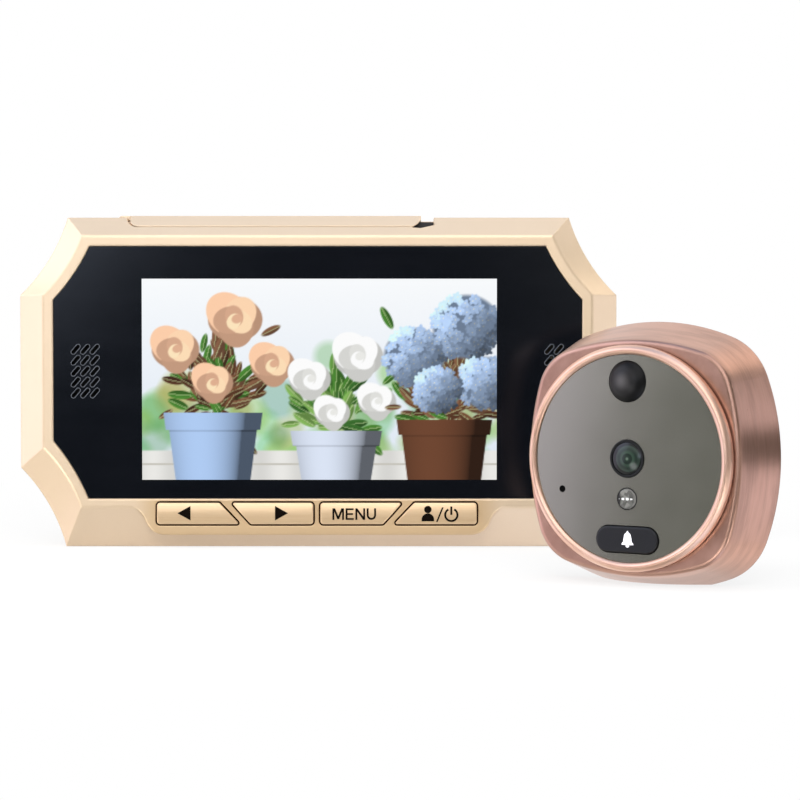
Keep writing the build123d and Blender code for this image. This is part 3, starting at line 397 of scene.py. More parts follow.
def clear_light():
    """Clear cover over a reflector: dark facets in a rim, darker towards the left, and a painted glint, a row of
    bright dots drawn out sideways that also glows.
    """
    stuff = Finish("clear_light", specular_ior_level=0.6, coat_weight=0.5)
    x, z, radius = stuff.from_centre(0.0, -9.2)
    facets = stuff.node("TexVoronoi", {}, {"Vector": stuff.place(), "Scale": 1300.0}, out="Color")
    cover = stuff.mix(facets, tone("1f1f1e"), tone("84837f"))
    cover = stuff.mix(stuff.ramp(radius, 1.9, 2.2), cover, tone("6d6c69"))
    cover = stuff.mix(stuff.ramp(radius, 2.25, 2.4), cover, tone("161616"))
    cover = stuff.mix(stuff.ramp(x + radius * 0.35, -0.5, -1.3), cover, tone("161616"))
    # Painted glint: a row of bright dots drawn out sideways, painted white and glowing.
    painted_glint = stuff.ramp((x * x * 0.14 + z * z * 5.0) ** 0.5, 0.8, 0.35)
    glint_dots = stuff.node("Math", {"operation": "SINE"}, {0: x * 5.6}) * 0.5 + 0.5
    painted_glint = painted_glint * stuff.ramp(glint_dots, 0.1, 0.7)
    stuff.feed(base_color=stuff.mix(painted_glint, cover, WHITE), roughness=0.12 + radius * 0.02)
    return stuff.feed(emission_color=stuff.mix(painted_glint, BLACK, tone("8a8a8a")))


# %% Finishes of the face
# Painted highlight and shade: the dome's colour is lighter near its middle and black at its rim.
FINISHES["dome_black"] = target("dome_black", -0.6, 17.6, [(0.0, "4a4849"), (2.7, "1c1b1c"), (4.1, "050505")], 0.36)
FINISHES["face_grey"] = turned_metal("face_grey", "949388", "8b8a7f", 0.20, 0.85, 0.0009, crowning=2.3)
FINISHES["barrel_black"] = turned_metal("barrel_black", "1c1d1d", "101111", 0.3, 0.4, 0.0004)
FINISHES["barrel_metal"] = turned_metal("barrel_metal", "d5d2cb", "b9b6af", 0.28, 0.95, 0.0005)
LENS_RINGS = [(0.1, "55655a"), (0.5, "202c26"), (1.1, "18231e"), (1.4, "2b3c32"), (2.2, "1a2620"), (2.8, "27322c"),
              (3.2, "0a0d0c"), (4.0, "050606")]
FINISHES["lens_glass"] = target("lens_glass", 0.45, 0.0, LENS_RINGS, 0.16)
FINISHES["dome_black"].feed(specular_ior_level=0.22)
FINISHES["clear_plastic"] = clear_light()

# %% [markdown]
# ## Plain finishes inside
# Nothing inside is seen until the lid opens, yet each piece gets a finish. Moulded plastic, rubber and
# foam differ mainly in the size and depth of their grain, so one recipe takes both as numbers.

# %% Grained materials
def grained(name, light, dark, roughness, size, depth, metallic=0.0):
    """Two tones and a relief from one grain, whose size and depth are in metres."""
    stuff = Finish(name, metallic=metallic)
    spot = stuff.place()
    grain = stuff.noise(spot, 1.0 / size, 3.0)
    drift = stuff.noise(spot, 60, 2.0)
    stuff.feed(base_color=stuff.mix(grain * 0.6 + drift * 0.4, tone(dark), tone(light)))
    stuff.feed(roughness=roughness + grain * 0.12)
    return stuff.feed(normal=stuff.relief(grain, depth, 0.6, edge=0.0002))


GRAINED = {
    "inner_plastic": ("2b2b2d", "1c1c1e", 0.48, 0.0003, 0.00002, 0.0),
    "white_plastic": ("e6e6e2", "d2d2cd", 0.4, 0.0004, 0.00002, 0.0),
    "soft_foam": ("2c2c2c", "141414", 0.85, 0.0005, 0.00015, 0.0),
    "black_rubber": ("242424", "171717", 0.65, 0.0002, 0.00003, 0.0),
    "steel": ("cfd1d2", "a9abac", 0.28, 0.0002, 0.00001, 0.95),
    "bracket_steel": ("c6c8c9", "a2a5a6", 0.36, 0.0012, 0.00001, 0.9),
    "battery_foil": ("c5c8cd", "a7abb2", 0.35, 0.002, 0.00005, 0.6),
    "card_black": ("242427", "18181b", 0.4, 0.0003, 0.00001, 0.0),
    "emitter_white": ("fbfaf3", "efe9c8", 0.35, 0.0003, 0.00001, 0.0),
    "outdoor_back": ("29292a", "1a1a1b", 0.5, 0.0004, 0.00003, 0.0),
    "screen_glass": ("14181c", "0b0e11", 0.12, 0.002, 0.000005, 0.0),
}
for slot_name, recipe in GRAINED.items():
    FINISHES[slot_name] = grained(slot_name, *recipe[:5], metallic=recipe[5])
print("grained finishes:", len(GRAINED))

# %% [markdown]
# ## Circuit boards
# A board's green mask shows its copper tracks as slightly paler lines. Two brick patterns of different
# size, one laid across the other, look enough like tracks at this scale.

# %% Board
def board():
    """Green mask over pale tracks, with the pads as a finer pattern."""
    mask = Finish("board_green", coat_weight=0.4)
    flat = mask.node("Mapping", {}, {"Vector": mask.place(), "Rotation": (math.radians(90), 0, 0)})
    tracks = mask.node("TexBrick", {}, {"Vector": flat, "Scale": 260, "Mortar Size": 0.05}, out=1)
    pads = mask.node("TexBrick", {}, {"Vector": flat, "Scale": 700, "Mortar Size": 0.12}, out=1)
    mask.feed(base_color=mask.mix(tracks * 0.5 + pads * 0.2, tone("0c4a2c"), tone("4f9a63")))
    return mask.feed(roughness=0.35 - tracks * 0.1, normal=mask.relief(tracks, 0.00003, 0.5))


FINISHES["board_green"] = board()
print("finishes:", len(FINISHES))

# %% [markdown]
# ## Handing the finishes out
# The packed record says which finish slot each solid belongs to, so the solids are dressed from it and no
# list is kept twice.

# %% Dress the solids
for part in frame["record"]["subparts"]:
    data = nodes[part["node"]].data
    data.materials.clear()
    data.materials.append(FINISHES[part["material_slot"]].material)

# %% [markdown]
# ## Making a thin piece
# Printed signs, rims and the dark rings of painted shade round the keys are flat shapes a few hundredths
# of a millimetre thick. One helper takes outlines in a front view, in millimetres, gives them that thickness,
# places them with a matrix and lets them ride on a body. Normals are made to point outwards once the shape is closed.

# %% Thin pieces
def put(name, mesh, material):
    """A new object in the scene, from a mesh and its material."""
    mesh.materials.append(material)
    piece = bpy.data.objects.new(name, mesh)
    bpy.context.scene.collection.objects.link(piece)
    return piece


def finish_piece(name, maker, place, body, finish):
    """A filled bmesh as an object in the shared frame, dressed and riding on its body."""
    bmesh.ops.remove_doubles(maker, verts=maker.verts, dist=1e-7)
    bmesh.ops.recalc_face_normals(maker, faces=maker.faces)
    mesh = bpy.data.meshes.new(name)
    maker.to_mesh(mesh)
    maker.free()
    mesh.transform(place)
    piece = put(name, mesh, finish.material)
    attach(piece, body)
    return piece


def thin(name, outlines, front, back, place, body, finish, shape=None):
    """Closed outlines of (x, z) in mm, or pairs of (outer, hole), as plates from front to back."""
    maker = bmesh.new()
    for outline in outlines:
        outer, hole = outline if isinstance(outline, tuple) else (outline, None)
        rings = []
        for loop in filter(None, (outer, hole)):
            near = [maker.verts.new((x * MM, front * MM, z * MM)) for x, z in loop]
            far = [maker.verts.new((x * MM, back * MM, z * MM)) for x, z in loop]
            for i in range(len(loop)):
                j = (i + 1) % len(loop)
                maker.faces.new((near[i], near[j], far[j], far[i]))
            rings.append((near, far))
        for side in (0, 1):
            if hole is None:
                maker.faces.new(rings[0][side])
                continue
            a, b = rings[0][side], rings[1][side]
            for i in range(len(a)):
                j = (i + 1) % len(a)
                maker.faces.new((a[i], a[j], b[j], b[i]))
    if shape:
        shape(maker)
    return finish_piece(name, maker, place, body, finish)


def arc(x, z, radius, start, end, steps):
    """Points on a circle, angles in degrees from +X towards +Z."""
    angles = [math.radians(start + (end - start) * i / steps) for i in range(steps + 1)]
    return [(x + radius * math.cos(a), z + radius * math.sin(a)) for a in angles]


print("a half circle in two steps:", [(round(x), round(z)) for x, z in arc(0, 0, 1, 0, 180, 2)])

# %% [markdown]
# ## The signs on the keys
# Two arrows, the word MENU, a little figure with a slash and the usual power sign are printed in dark
# brown ink. All shapes are plain polygons, and the letters are drawn stroke by stroke like the arrows. The
# keys are crowned, so a flat sign is first cut into thin strips, and then each corner is set back.

# %% Ink
INK = grained("brown_ink", "0d0703", "070301", 0.7, 0.0002, 0.00001)
INK.feed(specular_ior_level=0.08)
INK_THICK = 0.03
KEY_LOW_Z, KEY_MIDDLE_Z, KEY_HIGH_Z, KEY_CROWN_R, CUT_EVERY = 6.5, 9.325, 12.2, 14.0, 0.35


def on_key(maker):
    """Cuts a flat sign into thin strips and lays them on the crowned key faces."""
    for z in np.arange(KEY_LOW_Z, KEY_HIGH_Z, CUT_EVERY):
        every = maker.verts[:] + maker.edges[:] + maker.faces[:]
        bmesh.ops.bisect_plane(maker, geom=every, plane_co=(0, 0, z * MM), plane_no=(0, 0, 1))
    for vert in maker.verts:
        rise = vert.co.z / MM - KEY_MIDDLE_Z
        vert.co.y += (KEY_CROWN_R - math.sqrt(KEY_CROWN_R ** 2 - rise ** 2)) * MM


def key_sign(key, outlines):
    """Ink on the face of one key. It rides on that key."""
    return thin("sign_" + key, outlines, KEY_FACE_Y - INK_THICK, KEY_FACE_Y, IN_MONITOR, "key_" + key,
                INK, on_key)


# %% Arrows and power sign
key_sign("back", [[(-37.6, 9.43), (-34.1, 11.38), (-34.1, 7.49)]])
key_sign("forward", [[(-7.97, 9.43), (-11.45, 7.49), (-11.45, 11.38)]])
head = arc(29.52, 10.42, 1.0, 0, 345, 23)
shoulders = [(27.85, 7.25), (31.2, 7.25)] + arc(29.52, 7.72, 1.68, 8, 172, 14)
slash = [(31.7, 7.1), (32.15, 7.1), (33.75, 11.0), (33.3, 11.0)]
ring = arc(35.8, 8.98, 1.92, 118, 422, 30) + arc(35.8, 8.98, 1.38, 422, 118, 30)
stem = [(35.53, 9.0), (36.07, 9.0), (36.07, 11.25), (35.53, 11.25)]
power_sign = key_sign("power", [head, shoulders, slash, ring, stem])
print("power sign faces:", len(power_sign.data.polygons))

# %% Letters
M = [(0, 0), (0.5, 0), (0.5, 2.2), (1.3, 0.2), (1.8, 0.2), (2.6, 2.2), (2.6, 0), (3.1, 0), (3.1, 3.09), (2.4, 3.09),
     (1.55, 1.0), (0.7, 3.09), (0, 3.09)]
E = [(0, 0), (2.2, 0), (2.2, 0.48), (0.52, 0.48), (0.52, 1.34), (1.95, 1.34), (1.95, 1.8), (0.52, 1.8), (0.52, 2.62),
     (2.15, 2.62), (2.15, 3.09), (0, 3.09)]
N = [(0, 0), (0.5, 0), (0.5, 2.2), (2.08, 0), (2.6, 0), (2.6, 3.09), (2.1, 3.09), (2.1, 0.9), (0.52, 3.09), (0, 3.09)]
U = [(0, 3.09)] + arc(1.25, 1.25, 1.25, 180, 360, 14) + [(2.5, 3.09), (1.98, 3.09)]
U += arc(1.25, 1.25, 0.73, 360, 180, 12) + [(0.52, 3.09)]
LETTER_FOOT_Z = 7.65
letters = []
for left, letter in ((3.94, M), (7.47, E), (10.1, N), (13.13, U)):
    letters.append([(left + x, LETTER_FOOT_Z + z) for x, z in letter])
key_sign("menu", letters)
print("signs ride on four keys, letters:", len(letters))

# %% [markdown]
# ## Painted shade round the keys
# The slit round each key lies in shade and shows as a thin dark line. That shade is painted: a dark flat
# ring in the slit, level with the frame's face and under half a millimetre wide.
# Its two edges are the key's own outline, grown by a little and by a little more.

# %% Outlines round a key
def corners(points):
    """Each corner of an outline, with the ways to the corners before and after it."""
    for i, corner in enumerate(points):
        corner = Vector(corner)
        yield corner, Vector(points[i - 1]) - corner, Vector(points[(i + 1) % len(points)]) - corner


def grown(points, gap):
    """A convex outline moved outwards by gap along each corner's bisector."""
    out = []
    for corner, before, after in corners(points):
        bisector = (before.normalized() + after.normalized()).normalized()
        out.append(tuple(corner - bisector * gap / math.sin(before.angle(after) / 2)))
    return out


def rounded(points, grow, steps=5):
    """An outline with its corners rounded: less where the corner is sharp, more where it was grown."""
    out = []
    for corner, before, after in corners(points):
        half = before.angle(after) / 2
        radius = grow + (0.35 if half < math.radians(40) else 0.8)
        reach = radius / math.tan(half)
        start, end = corner + before.normalized() * reach, corner + after.normalized() * reach
        middle = corner + (before.normalized() + after.normalized()).normalized() * radius / math.sin(half)
        sweep = (start - middle).angle_signed(end - middle)
        out += [tuple(middle + Matrix.Rotation(-sweep * k / steps, 2) @ (start - middle)) for k in range(steps + 1)]
    return out


# %% Painted shade in the key slits
# Painted shade: a dark brown ring in each key's slit, where shade falls.
SLIT_SHADE = grained("seal_brown", "261305", "180b02", 0.8, 0.0002, 0.00001)
SLIT_SHADE.feed(specular_ior_level=0.1)
SLIT_SHADE_FRONT_Y, SLIT_SHADE_BACK_Y = -9.012, -8.4
SLIT_FROM, SLIT_TO = 0.02, 0.44
KEYPAD_X = -0.25
KEY_SHAPES = {
    "back": [(-42.85, 6.45), (-42.85, 12.2), (-26.15, 12.2), (-20.7, 6.45)],
    "forward": [(-0.97, 6.45), (-17.7, 6.45), (-22.9, 12.2), (-0.97, 12.2)],
}
KEY_SHAPES["power"] = [(-x, z) for x, z in reversed(KEY_SHAPES["back"])]
KEY_SHAPES["menu"] = [(-x, z) for x, z in reversed(KEY_SHAPES["forward"])]
for key, shape in KEY_SHAPES.items():
    shape = [(x + KEYPAD_X, z) for x, z in shape]
    inner, outer = (rounded(grown(shape, gap), gap) for gap in (SLIT_FROM, SLIT_TO))
    thin(f"seal_{key}", [(outer, inner)], SLIT_SHADE_FRONT_Y, SLIT_SHADE_BACK_Y, IN_MONITOR, "monitor", SLIT_SHADE)
print("seals:", len(KEY_SHAPES))

# %% [markdown]
# ## A strip under the lid, and a black disc in the microphone hole
# The slit under the port lid is closed by a strip of the frame's paint. The strip is a touch darker, as
# painted shade, so a faint line stays where the slit is. It lies in the sloping bevel, so it is drawn flat and a
# matrix leans it.
# Behind the outdoor unit's microphone hole sits a disc of black cloth against dust. Its black is painted shade as
# well: it keeps the small hole black, because the bore behind it would catch the light.

# %% Strip and cloth
BEVEL_RUN, BEVEL_FOOT_Y, BEVEL_FOOT_Z = Vector((0.0, 6.0, 5.1)).normalized(), -6.0, 86.25
IN_BEVEL = Matrix(((1, 0, 0, 0), (0, BEVEL_RUN.z, BEVEL_RUN.y, BEVEL_FOOT_Y * MM),
                   (0, -BEVEL_RUN.y, BEVEL_RUN.z, BEVEL_FOOT_Z * MM), (0, 0, 0, 1)))
# Painted shade: this paint is a touch darker than the frame's, so a faint line stays where the slit is.
STRIP_FAINT_SHADE = champagne("strip_paint", "e6cdb0", "d4ba9a", 0.5, 0.35)
STRIP_OUTLINE, STRIP_THICK = [(-48.5, 0.01), (25.2, 0.01), (25.2, 0.17), (-48.5, 0.17)], 0.5
thin("lid_strip", [STRIP_OUTLINE], 0.0, STRIP_THICK, IN_BEVEL, "monitor", STRIP_FAINT_SHADE)
# Painted shade: a black disc deep in the microphone hole, where shade falls. It is also a cloth against dust.
DUST_CLOTH_AND_SHADE = grained("dust_cloth", "0a0a0a", "040404", 0.9, 0.0001, 0.00001)
DUST_CLOTH_AND_SHADE.feed(specular_ior_level=0.05)
SHADE_CLOTH_DISC, SHADE_CLOTH_FRONT, SHADE_CLOTH_BACK = arc(-16.9, -7.5, 0.79, 0, 345, 23), 0.15, 1.5
thin("sound_cloth_and_shade", [SHADE_CLOTH_DISC], SHADE_CLOTH_FRONT, SHADE_CLOTH_BACK, IN_UNIT, "outdoor_unit", DUST_CLOTH_AND_SHADE)
print("bevel leans", round(math.degrees(math.atan2(BEVEL_RUN.z, BEVEL_RUN.y))), "degrees")

# %% [markdown]
# ## Rims of the sound slots, by Geometry Nodes
# Each slot in the black window has a thin grey rim. Fifteen and ten copies are a job for Geometry Nodes: a
# grid of points, one rim instanced on each, turned by the slant. Sizes are named inputs of the tree, so
# both grilles share it. The result is turned into a plain mesh, because instances are lost on export.

# %% A tree's start and end
def start_tree(name, sizes):
    """A Geometry Nodes tree with named inputs for its sizes and its finish, and those inputs as wires."""
    tree = bpy.data.node_groups.new(name, "GeometryNodeTree")
    for key, value in sizes.items():
        kind = "NodeSocketInt" if isinstance(value, int) else "NodeSocketFloat"
        tree.interface.new_socket(key, in_out="INPUT", socket_type=kind).default_value = value
    tree.interface.new_socket("Finish", in_out="INPUT", socket_type="NodeSocketMaterial")
    tree.interface.new_socket("Geometry", in_out="OUTPUT", socket_type="NodeSocketGeometry")
    wiring = Wiring(tree)
    return wiring, wiring.outputs("NodeGroupInput")


def end_tree(wiring, geometry, given):
    """Makes copies real, dresses them and hands them out. Returns the finished tree."""
    real = wiring.node("GeometryNodeRealizeInstances", {}, {0: geometry})
    dressed = wiring.node("GeometryNodeSetMaterial", {}, {"Geometry": real, "Material": given["Finish"]})
    wiring.plug(wiring.tree.nodes.new("NodeGroupOutput").inputs[0], dressed)
    return wiring.tree


def grow_piece(name, tree, inputs, shift, place, body, finish):
    """Runs a node tree on an empty mesh and keeps its result as a plain piece."""
    carrier = bpy.data.objects.new(name + "_carrier", bpy.data.meshes.new(name + "_carrier"))
    bpy.context.scene.collection.objects.link(carrier)
    modifier = carrier.modifiers.new("shape", "NODES")
    modifier.node_group = tree
    inputs = dict(inputs, Finish=finish.material)
    for item in tree.interface.items_tree:
        if item.in_out == "INPUT" and item.name in inputs:
            modifier[item.identifier] = inputs[item.name]
    shape = carrier.evaluated_get(bpy.context.evaluated_depsgraph_get())
    mesh = bpy.data.meshes.new_from_object(shape)
    bpy.data.objects.remove(carrier)
    mesh.transform(Matrix.Translation(Vector(shift) * MM))
    maker = bmesh.new()
    maker.from_mesh(mesh)
    piece = finish_piece(name, maker, place, body, finish)
    print(name, "faces:", len(piece.data.polygons))
    return piece


# %% Slot rims
def rim_tree():
    """Rims on a grid of columns and rows, standing in the XZ plane."""
    sizes = {"Columns": 3, "Rows": 5, "Pitch X": 0.00255, "Pitch Z": 0.00293, "Long": 0.0032, "Wide": 0.0012,
             "Rim": 0.0002, "Slant": math.radians(49)}
    rims, given = start_tree("slot_rims", sizes)
    grid = rims.node("GeometryNodeMeshGrid", {}, {
        "Size X": given["Pitch X"] * (given["Columns"] - 1.0), "Size Y": given["Pitch Z"] * (given["Rows"] - 1.0),
        "Vertices X": given["Columns"], "Vertices Y": given["Rows"]})
    quad = "GeometryNodeCurvePrimitiveQuadrilateral"
    slot = rims.node(quad, {}, {"Width": given["Long"], "Height": given["Wide"]})
    soft = rims.node("GeometryNodeFilletCurve", {"mode": "POLY"},
                     {"Curve": slot, "Count": 6, "Radius": given["Wide"] * 0.499})
    line = rims.node(quad, {}, {"Width": given["Rim"], "Height": given["Rim"] * 0.4})
    rim = rims.node("GeometryNodeCurveToMesh", {}, {"Curve": soft, "Profile Curve": line})
    turn = rims.node("CombineXYZ", {}, {"Z": given["Slant"]})
    many = rims.node("GeometryNodeInstanceOnPoints", {}, {"Points": grid, "Instance": rim})
    slanted = rims.node("GeometryNodeRotateInstances", {}, {"Instances": many, "Rotation": turn})
    upright = rims.node("GeometryNodeTransform", {}, {"Geometry": slanted, "Rotation": (math.radians(90), 0.0, 0.0)})
    return end_tree(rims, upright, given)


RIM = grained("slot_rim_grey", "5d6168", "45494f", 0.4, 0.0002, 0.00001)
RIM_TREE = rim_tree()
RIM_Y, RIM_Z = WINDOW_Y - 0.01, 47.5
for grille, columns, x in (("speaker", 3, -62.25), ("microphone", 2, 63.3)):
    grow_piece("rims_" + grille, RIM_TREE, {"Columns": columns}, (x, RIM_Y, RIM_Z), IN_MONITOR, "monitor",
               RIM)

# %% [markdown]
# ## The thread inside the barrel, by Geometry Nodes
# The tube that goes through the door is threaded inside for its clamping sleeve. A thread is one ridge on a
# helix, so a Spiral curve carries a small triangle along the bore. Radius, pitch and turns are inputs.

# %% Barrel thread
def thread_tree():
    """A ridge on a helix about the Y axis, starting at the origin."""
    bore, given = start_tree("bore_thread", {"Radius": 0.0048, "Pitch": 0.001, "Turns": 24.0, "Ridge": 0.0004})
    helix = bore.node("GeometryNodeCurveSpiral", {}, {
        "Resolution": 36, "Rotations": given["Turns"], "Start Radius": given["Radius"], "End Radius": given["Radius"],
        "Height": given["Pitch"] * given["Turns"]})
    ridge = bore.node("GeometryNodeCurvePrimitiveCircle", {}, {"Resolution": 3, "Radius": given["Ridge"]})
    sweep = bore.node("GeometryNodeCurveToMesh", {}, {"Curve": helix, "Profile Curve": ridge, "Fill Caps": True})
    lay = bore.node("GeometryNodeTransform", {}, {"Geometry": sweep, "Rotation": (math.radians(-90), 0.0, 0.0)})
    return end_tree(bore, lay, given)


THREAD_START_Y = 24.0
grow_piece("barrel_thread_ridge", thread_tree(), {}, (0, THREAD_START_Y, 0), IN_UNIT, "outdoor_unit",
           FINISHES["barrel_metal"])

# %% [markdown]
# ## The bell sign
# A white bell is printed on the black button. Its outline is a list of half-widths by height, mirrored, and
# the clapper below it is half a disc. White ink in daylight looks brighter than the lamps alone make it, so
# it glows a little.

# %% Bell
WHITE_INK = grained("white_ink", "f4f2fa", "eae8f2", 0.5, 0.0002, 0.00001)
WHITE_INK.feed(emission_color=tone("f4f2fa"), emission_strength=0.25)
HALF_BELL = [(0.0, 2.0), (0.22, 1.8), (0.26, 1.6), (0.66, 1.3), (0.9, 0.85), (1.0, 0.2), (1.08, -0.5), (1.5, -1.0),
             (1.5, -1.25)]
BELL_AT, BUTTON_Y = (0.45, -18.4), -0.6
bell = HALF_BELL + [(-x, z) for x, z in reversed(HALF_BELL[1:])]
clapper = arc(0.0, -1.35, 0.5, 180, 360, 9)
outlines = [[(x + BELL_AT[0], z + BELL_AT[1]) for x, z in shape] for shape in (bell, clapper)]
thin("sign_bell", outlines, BUTTON_Y - INK_THICK, BUTTON_Y, IN_UNIT, "bell_button", WHITE_INK)
print("bell corners:", len(bell))

# %% [markdown]
# ## The picture on the screen
# A lit screen needs a picture. A garden table with flower pots is painted here in code: soft circles,
# ellipses and pots laid over each other on a grid of colours. Each grid corner becomes a vertex, its
# colour is kept as an attribute, and the attribute drives the emission, so no image file is needed.

# %% A canvas
class Canvas:
    """Colours on a grid of the screen's size. Distances are in millimetres from its lower left corner."""

    def __init__(self, wide, high, step):
        self.columns, self.rows = round(wide / step) + 1, round(high / step) + 1
        self.x, self.z = np.meshgrid(np.linspace(0, wide, self.columns), np.linspace(0, high, self.rows))
        self.colour = np.zeros((self.rows, self.columns, 3))
        self.random = np.random.default_rng(7)

    def lay(self, mask, colour):
        """Paints a colour, or one colour for each point, where the mask is above nothing."""
        self.colour += (np.asarray(colour) - self.colour) * np.clip(mask, 0, 1)[..., None]

    def ellipse(self, x, z, wide, high, turn=0.0, soft=0.3):
        """A filled ellipse of half sizes wide and high, with a soft edge in mm."""
        c, s = math.cos(turn), math.sin(turn)
        u, v = (self.x - x) * c + (self.z - z) * s, (self.z - z) * c - (self.x - x) * s
        far = np.sqrt((u / wide) ** 2 + (v / high) ** 2)
        return np.clip((1 - far) * min(wide, high) / soft + 0.5, 0, 1)

canvas = Canvas(SCREEN["wide"], SCREEN["high"], 0.27)
print("canvas", canvas.columns, "by", canvas.rows)

# %% [markdown]
# The far background is bright and out of focus: a pale sky over blurred leaves. Out-of-focus spots are
# just soft ellipses, many and faint. Then comes the white table edge.

# %% Background
sky = np.clip(canvas.z / SCREEN["high"], 0, 1)[..., None]
canvas.colour = web("dfe9f6") * (1 - sky) + web("fbfdff") * sky
for _ in range(70):
    x, z = canvas.random.uniform(-5, 100), abs(canvas.random.normal(0, 13)) + 4
    green = web("7fae62") + canvas.random.uniform(-0.12, 0.2, 3) * np.array([1, 0.7, 0.8])
    size = canvas.random.uniform(2.5, 6)
    canvas.lay(canvas.ellipse(x, z, size, size, soft=2.2) * 0.45, green)
board_shade = 0.93 + 0.04 * np.sin(canvas.x * 0.55) * (canvas.z < 8)
table = np.clip((8.0 - canvas.z) / 0.3, 0, 1)
canvas.lay(table, web("f4f3ef") * board_shade[..., None])
canvas.lay(table * (np.abs(canvas.z - 4.2) < 0.18), web("c9c6bd"))
print("background, mean colour", canvas.colour.mean((0, 1)).round(2))

# %% [markdown]
# Leaves, flower heads and pots are small recipes. A pot is a straight-sided shape with the light falling
# off round it. A head is a ball of four-petalled florets, lighter where the ball faces the light.

# %% Pots and leaves
def pot(x, low, high, top, bottom, colour):
    """A pot with a rim, lit from the left, over the shadow it throws on the table."""
    along = np.clip((canvas.z - low) / high, 0, 1)
    half = bottom + (top - bottom) * along + (along > 0.8) * 0.9
    across = (canvas.x - x) / half
    inside = np.clip((half - np.abs(canvas.x - x)) / 0.25, 0, 1) * ((canvas.z > low) & (canvas.z < low + high))
    light = 0.45 + 0.6 * np.sqrt(np.clip(1 - (across + 0.35) ** 2, 0, 1)) - 0.1 * (np.abs(along - 0.79) < 0.015)
    canvas.lay(canvas.ellipse(x + 2, low, bottom * 1.25, 1.2, soft=1.0) * 0.45, web("6f6a60"))
    canvas.lay(inside, np.clip(web(colour) * light[..., None], 0, 1))


def leaf(x, z, length, turn, colour):
    """An ellipse with a pale midrib, lighter on one side of it."""
    mask = canvas.ellipse(x, z, length, length * 0.36, turn, 0.25)
    c, s = math.cos(turn), math.sin(turn)
    side = (canvas.z - z) * c - (canvas.x - x) * s
    light = 0.85 + 0.3 * np.tanh(side * 2.0) * 0.5
    canvas.lay(mask, np.clip(web(colour) * light[..., None], 0, 1))
    canvas.lay(mask * (np.abs(side) < 0.14) * 0.5, web("cfe0a8"))


# %% Flowers and twigs
def flower_head(x, z, size, colour, count):
    """A ball of four-petalled florets over a dark ball."""
    canvas.lay(canvas.ellipse(x, z, size * 0.96, size * 0.9, soft=1.0), web(colour) * 0.62)
    for _ in range(count):
        far, angle = size * math.sqrt(canvas.random.uniform(0, 1)), canvas.random.uniform(0, 2 * math.pi)
        u, v = far * math.cos(angle), far * math.sin(angle) * 0.92
        lit = 0.8 + 0.3 * (v - u) / size + canvas.random.uniform(-0.08, 0.08)
        turn = canvas.random.uniform(0, math.pi)
        for petal in range(4):
            a = turn + petal * math.pi / 2
            spot = (x + u + 0.55 * math.cos(a), z + v + 0.55 * math.sin(a))
            canvas.lay(canvas.ellipse(*spot, 0.62, 0.45, a, 0.25), np.clip(web(colour) * lit, 0, 1))
        canvas.lay(canvas.ellipse(x + u, z + v, 0.16, 0.16, soft=0.2), web("f5f1d8") * min(lit, 1))


def rose(x, z, size, colour):
    """Ellipses that shrink as they turn, light and dark by turns."""
    for k in range(9):
        share = 1 - k / 10
        a = k * 2.4
        spot = (x + size * 0.3 * share * math.cos(a) * (k > 0), z + size * 0.25 * share * math.sin(a) * (k > 0))
        canvas.lay(canvas.ellipse(*spot, size * share * 0.85, size * share * 0.7, a, 0.3),
                   np.clip(web(colour) * (0.78 + 0.3 * (k % 2) + 0.02 * k), 0, 1))


def shrub(x, z, wide, high, count, tones):
    """Leaves strewn about a point. Each points away from the foot of the shrub."""
    for k in range(count):
        u, v = canvas.random.normal(0, wide / 2), canvas.random.normal(0, high / 2)
        turn = math.atan2(v + high * 0.6, u) + canvas.random.uniform(-0.5, 0.5)
        leaf(x + u, z + v, canvas.random.uniform(2.0, 3.4), turn, tones[k % len(tones)])


# %% Painting
GREENS = ["4f8a36", "6ba34a", "3d7030", "8abb60"]
TWIGS = ["5a3a28", "7a5138", "4f8a36", "8a6248"]
shrub(20, 27, 13, 13, 120, TWIGS)
pot(19, -5.0, 23.0, 12.5, 9.5, "a9c4ea")
for spot in ((9, 35, 7.5), (25, 43, 8.6), (35, 31, 7.0), (19, 26, 6.4)):
    rose(*spot, "f0bd9c")
shrub(53, 21, 11, 11, 80, GREENS)
pot(52, -6.0, 19.0, 11.5, 8.5, "d3dcec")
for spot in ((45, 27, 6.6), (58, 33, 7.8), (63, 21, 6.0), (51, 18, 5.6)):
    rose(*spot, "fbfbf7")
shrub(82, 25, 13, 13, 130, TWIGS)
pot(81, -4.0, 20.0, 12.0, 9.5, "6b4430")
for spot in ((73, 33, 8.4), (87, 41, 9.4), (92, 26, 7.6), (79, 24, 6.4)):
    flower_head(*spot, "b3cdf2", 150)
print("mean picture colour", canvas.colour.mean((0, 1)).round(2))

# %% [markdown]
# The grid of colours now becomes a mesh, one vertex for each grid point. Screen colours are written for
# the eye, so they are turned into linear light before they drive the emission.

# %% Lit picture
PICTURE_AHEAD = 0.012


